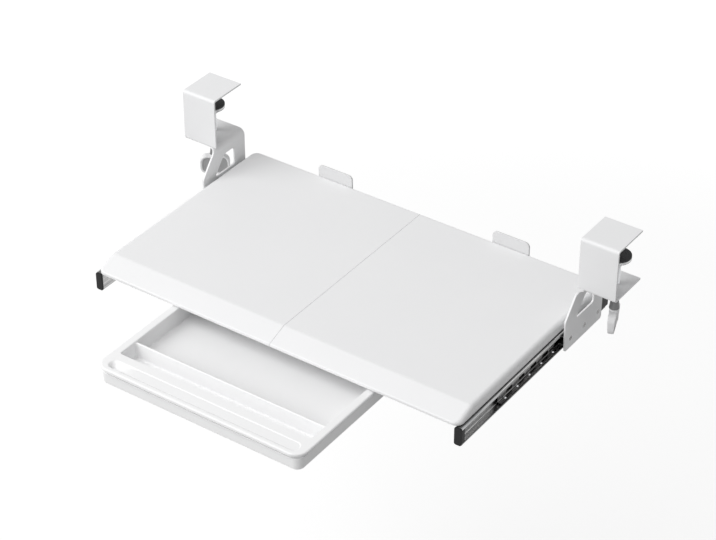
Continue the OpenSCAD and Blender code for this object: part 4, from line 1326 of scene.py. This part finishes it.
def knob_sheets(turn):
    """Rings of a rounded outline: the panel's floor, its wall, the rim and the rolled edge, on both faces.

    The half-thickness is a straight taper from top to foot. Each ring is drawn in by an amount, and its
    depth is a set amount plus a share of the half-thickness.
    """
    corners = box_loop((-knob_half_w, knob_foot), (knob_half_w, knob_top))
    face = np.array([(8.8, knob_web, 0.0), (4.4, knob_web, 0.0), (3.4, knob_web + 0.12, 0.0),
                     (2.8, knob_web * 0.5, 0.5), (2.5, -0.4, 1.0), (2.1, -0.05, 1.0), (1.6, 0.0, 1.0),
                     (0.8, 0.0, 1.0), (0.35, -0.2, 1.0), (0.08, -0.6, 1.0), (0.0, -1.1, 1.0)])
    loops = np.stack([rounded_loop(corners, knob_corner, inset, 10) for inset in face[:, 0]])
    top = collar_low[2]
    way = (top - loops[..., 1]) / (top - knob_foot)
    half = knob_half_top + (knob_half_foot - knob_half_top) * way
    deep = face[:, 1:2] + face[:, 2:] * half
    front, back = [points_of(loops[..., 0], s * deep, loops[..., 1]) for s in (-1, 1)]
    neck, foot = top - knob_hub_straight, top - knob_hub_h
    hub = turned([(0, top), (knob_hub_r - 0.6, top), (knob_hub_r - 0.15, top - 0.2), (knob_hub_r, top - 0.7),
                  (knob_hub_r, neck + 0.6), (knob_hub_r - 0.15, neck), (knob_hub_r - 0.5, neck - 0.6),
                  (knob_hub_foot_r + 0.3, foot + 0.5), (knob_hub_foot_r - 0.4, foot), (0, foot)], 0, 0)
    spin = np.array([[np.cos(turn), np.sin(turn), 0], [-np.sin(turn), np.cos(turn), 0], [0, 0, 1]])
    shells = [rings(np.concatenate([front, back[::-1]])), rings(hub)]
    return [(points @ spin + (screw_x, screw_y, 0), faces) for points, faces in shells]


def collar_profile():
    """A ring with a conical outside and small rounded edges."""
    z0, z1 = collar_low[2], collar_high[2]
    line = [(thread_r, z0), (collar_foot_r - 0.3, z0), (collar_foot_r, z0 + 0.3),
            (collar_foot_r - 0.05, z0 + 1.0), (collar_top_r + 0.05, z1 - 0.7), (collar_top_r - 0.4, z1),
            (thread_r, z1)]
    return line + line[:1]


collar_grey = clouded_finish(
    "grey_collar", shine=0.6, tints=((0.16, 0.162, 0.165), (0.22, 0.22, 0.223)), cloud=(220.0, 3.0),
    rough=(0.16, 0.12), grain=(2200.0, 1.0), relief=(0.00008, 0.2))
panel_grey = white_abs("grey_knob_panel", (0.40, 0.40, 0.404), (0.44, 0.44, 0.443))


def coat_panels(knob, turn, hand):
    """Gives the grey finish to the faces of the sunk panels: near the paddle's middle plane, and along it."""
    across = np.array([-hand * np.sin(turn), np.cos(turn), 0.0])
    faces = knob.data.polygons
    centre, normal = np.empty((2, 3 * len(faces)))
    faces.foreach_get("center", centre)
    faces.foreach_get("normal", normal)
    depth = (centre.reshape(-1, 3) - np.array([hand * screw_x, screw_y, 0.0]) * MM) @ across
    level = normal.reshape(-1, 3) @ across
    on_panel = (np.abs(depth) < (knob_web + panel_reach) * MM) & (np.abs(level) > panel_level)
    knob.data.materials.append(panel_grey)
    faces.foreach_set("material_index", on_panel.astype(np.int32))


for side, hand in SIDES.items():
    knob = solid(side + "_knob", knob_sheets(knob_turn[side]), white_plastic, hand, crease=plastic_crease)
    coat_panels(knob, knob_turn[side], hand)
    collar = rings(turned(collar_profile(), screw_x, screw_y, collar_steps), ends=False)
    solid(side + "_knob_collar", [collar], collar_grey, hand)
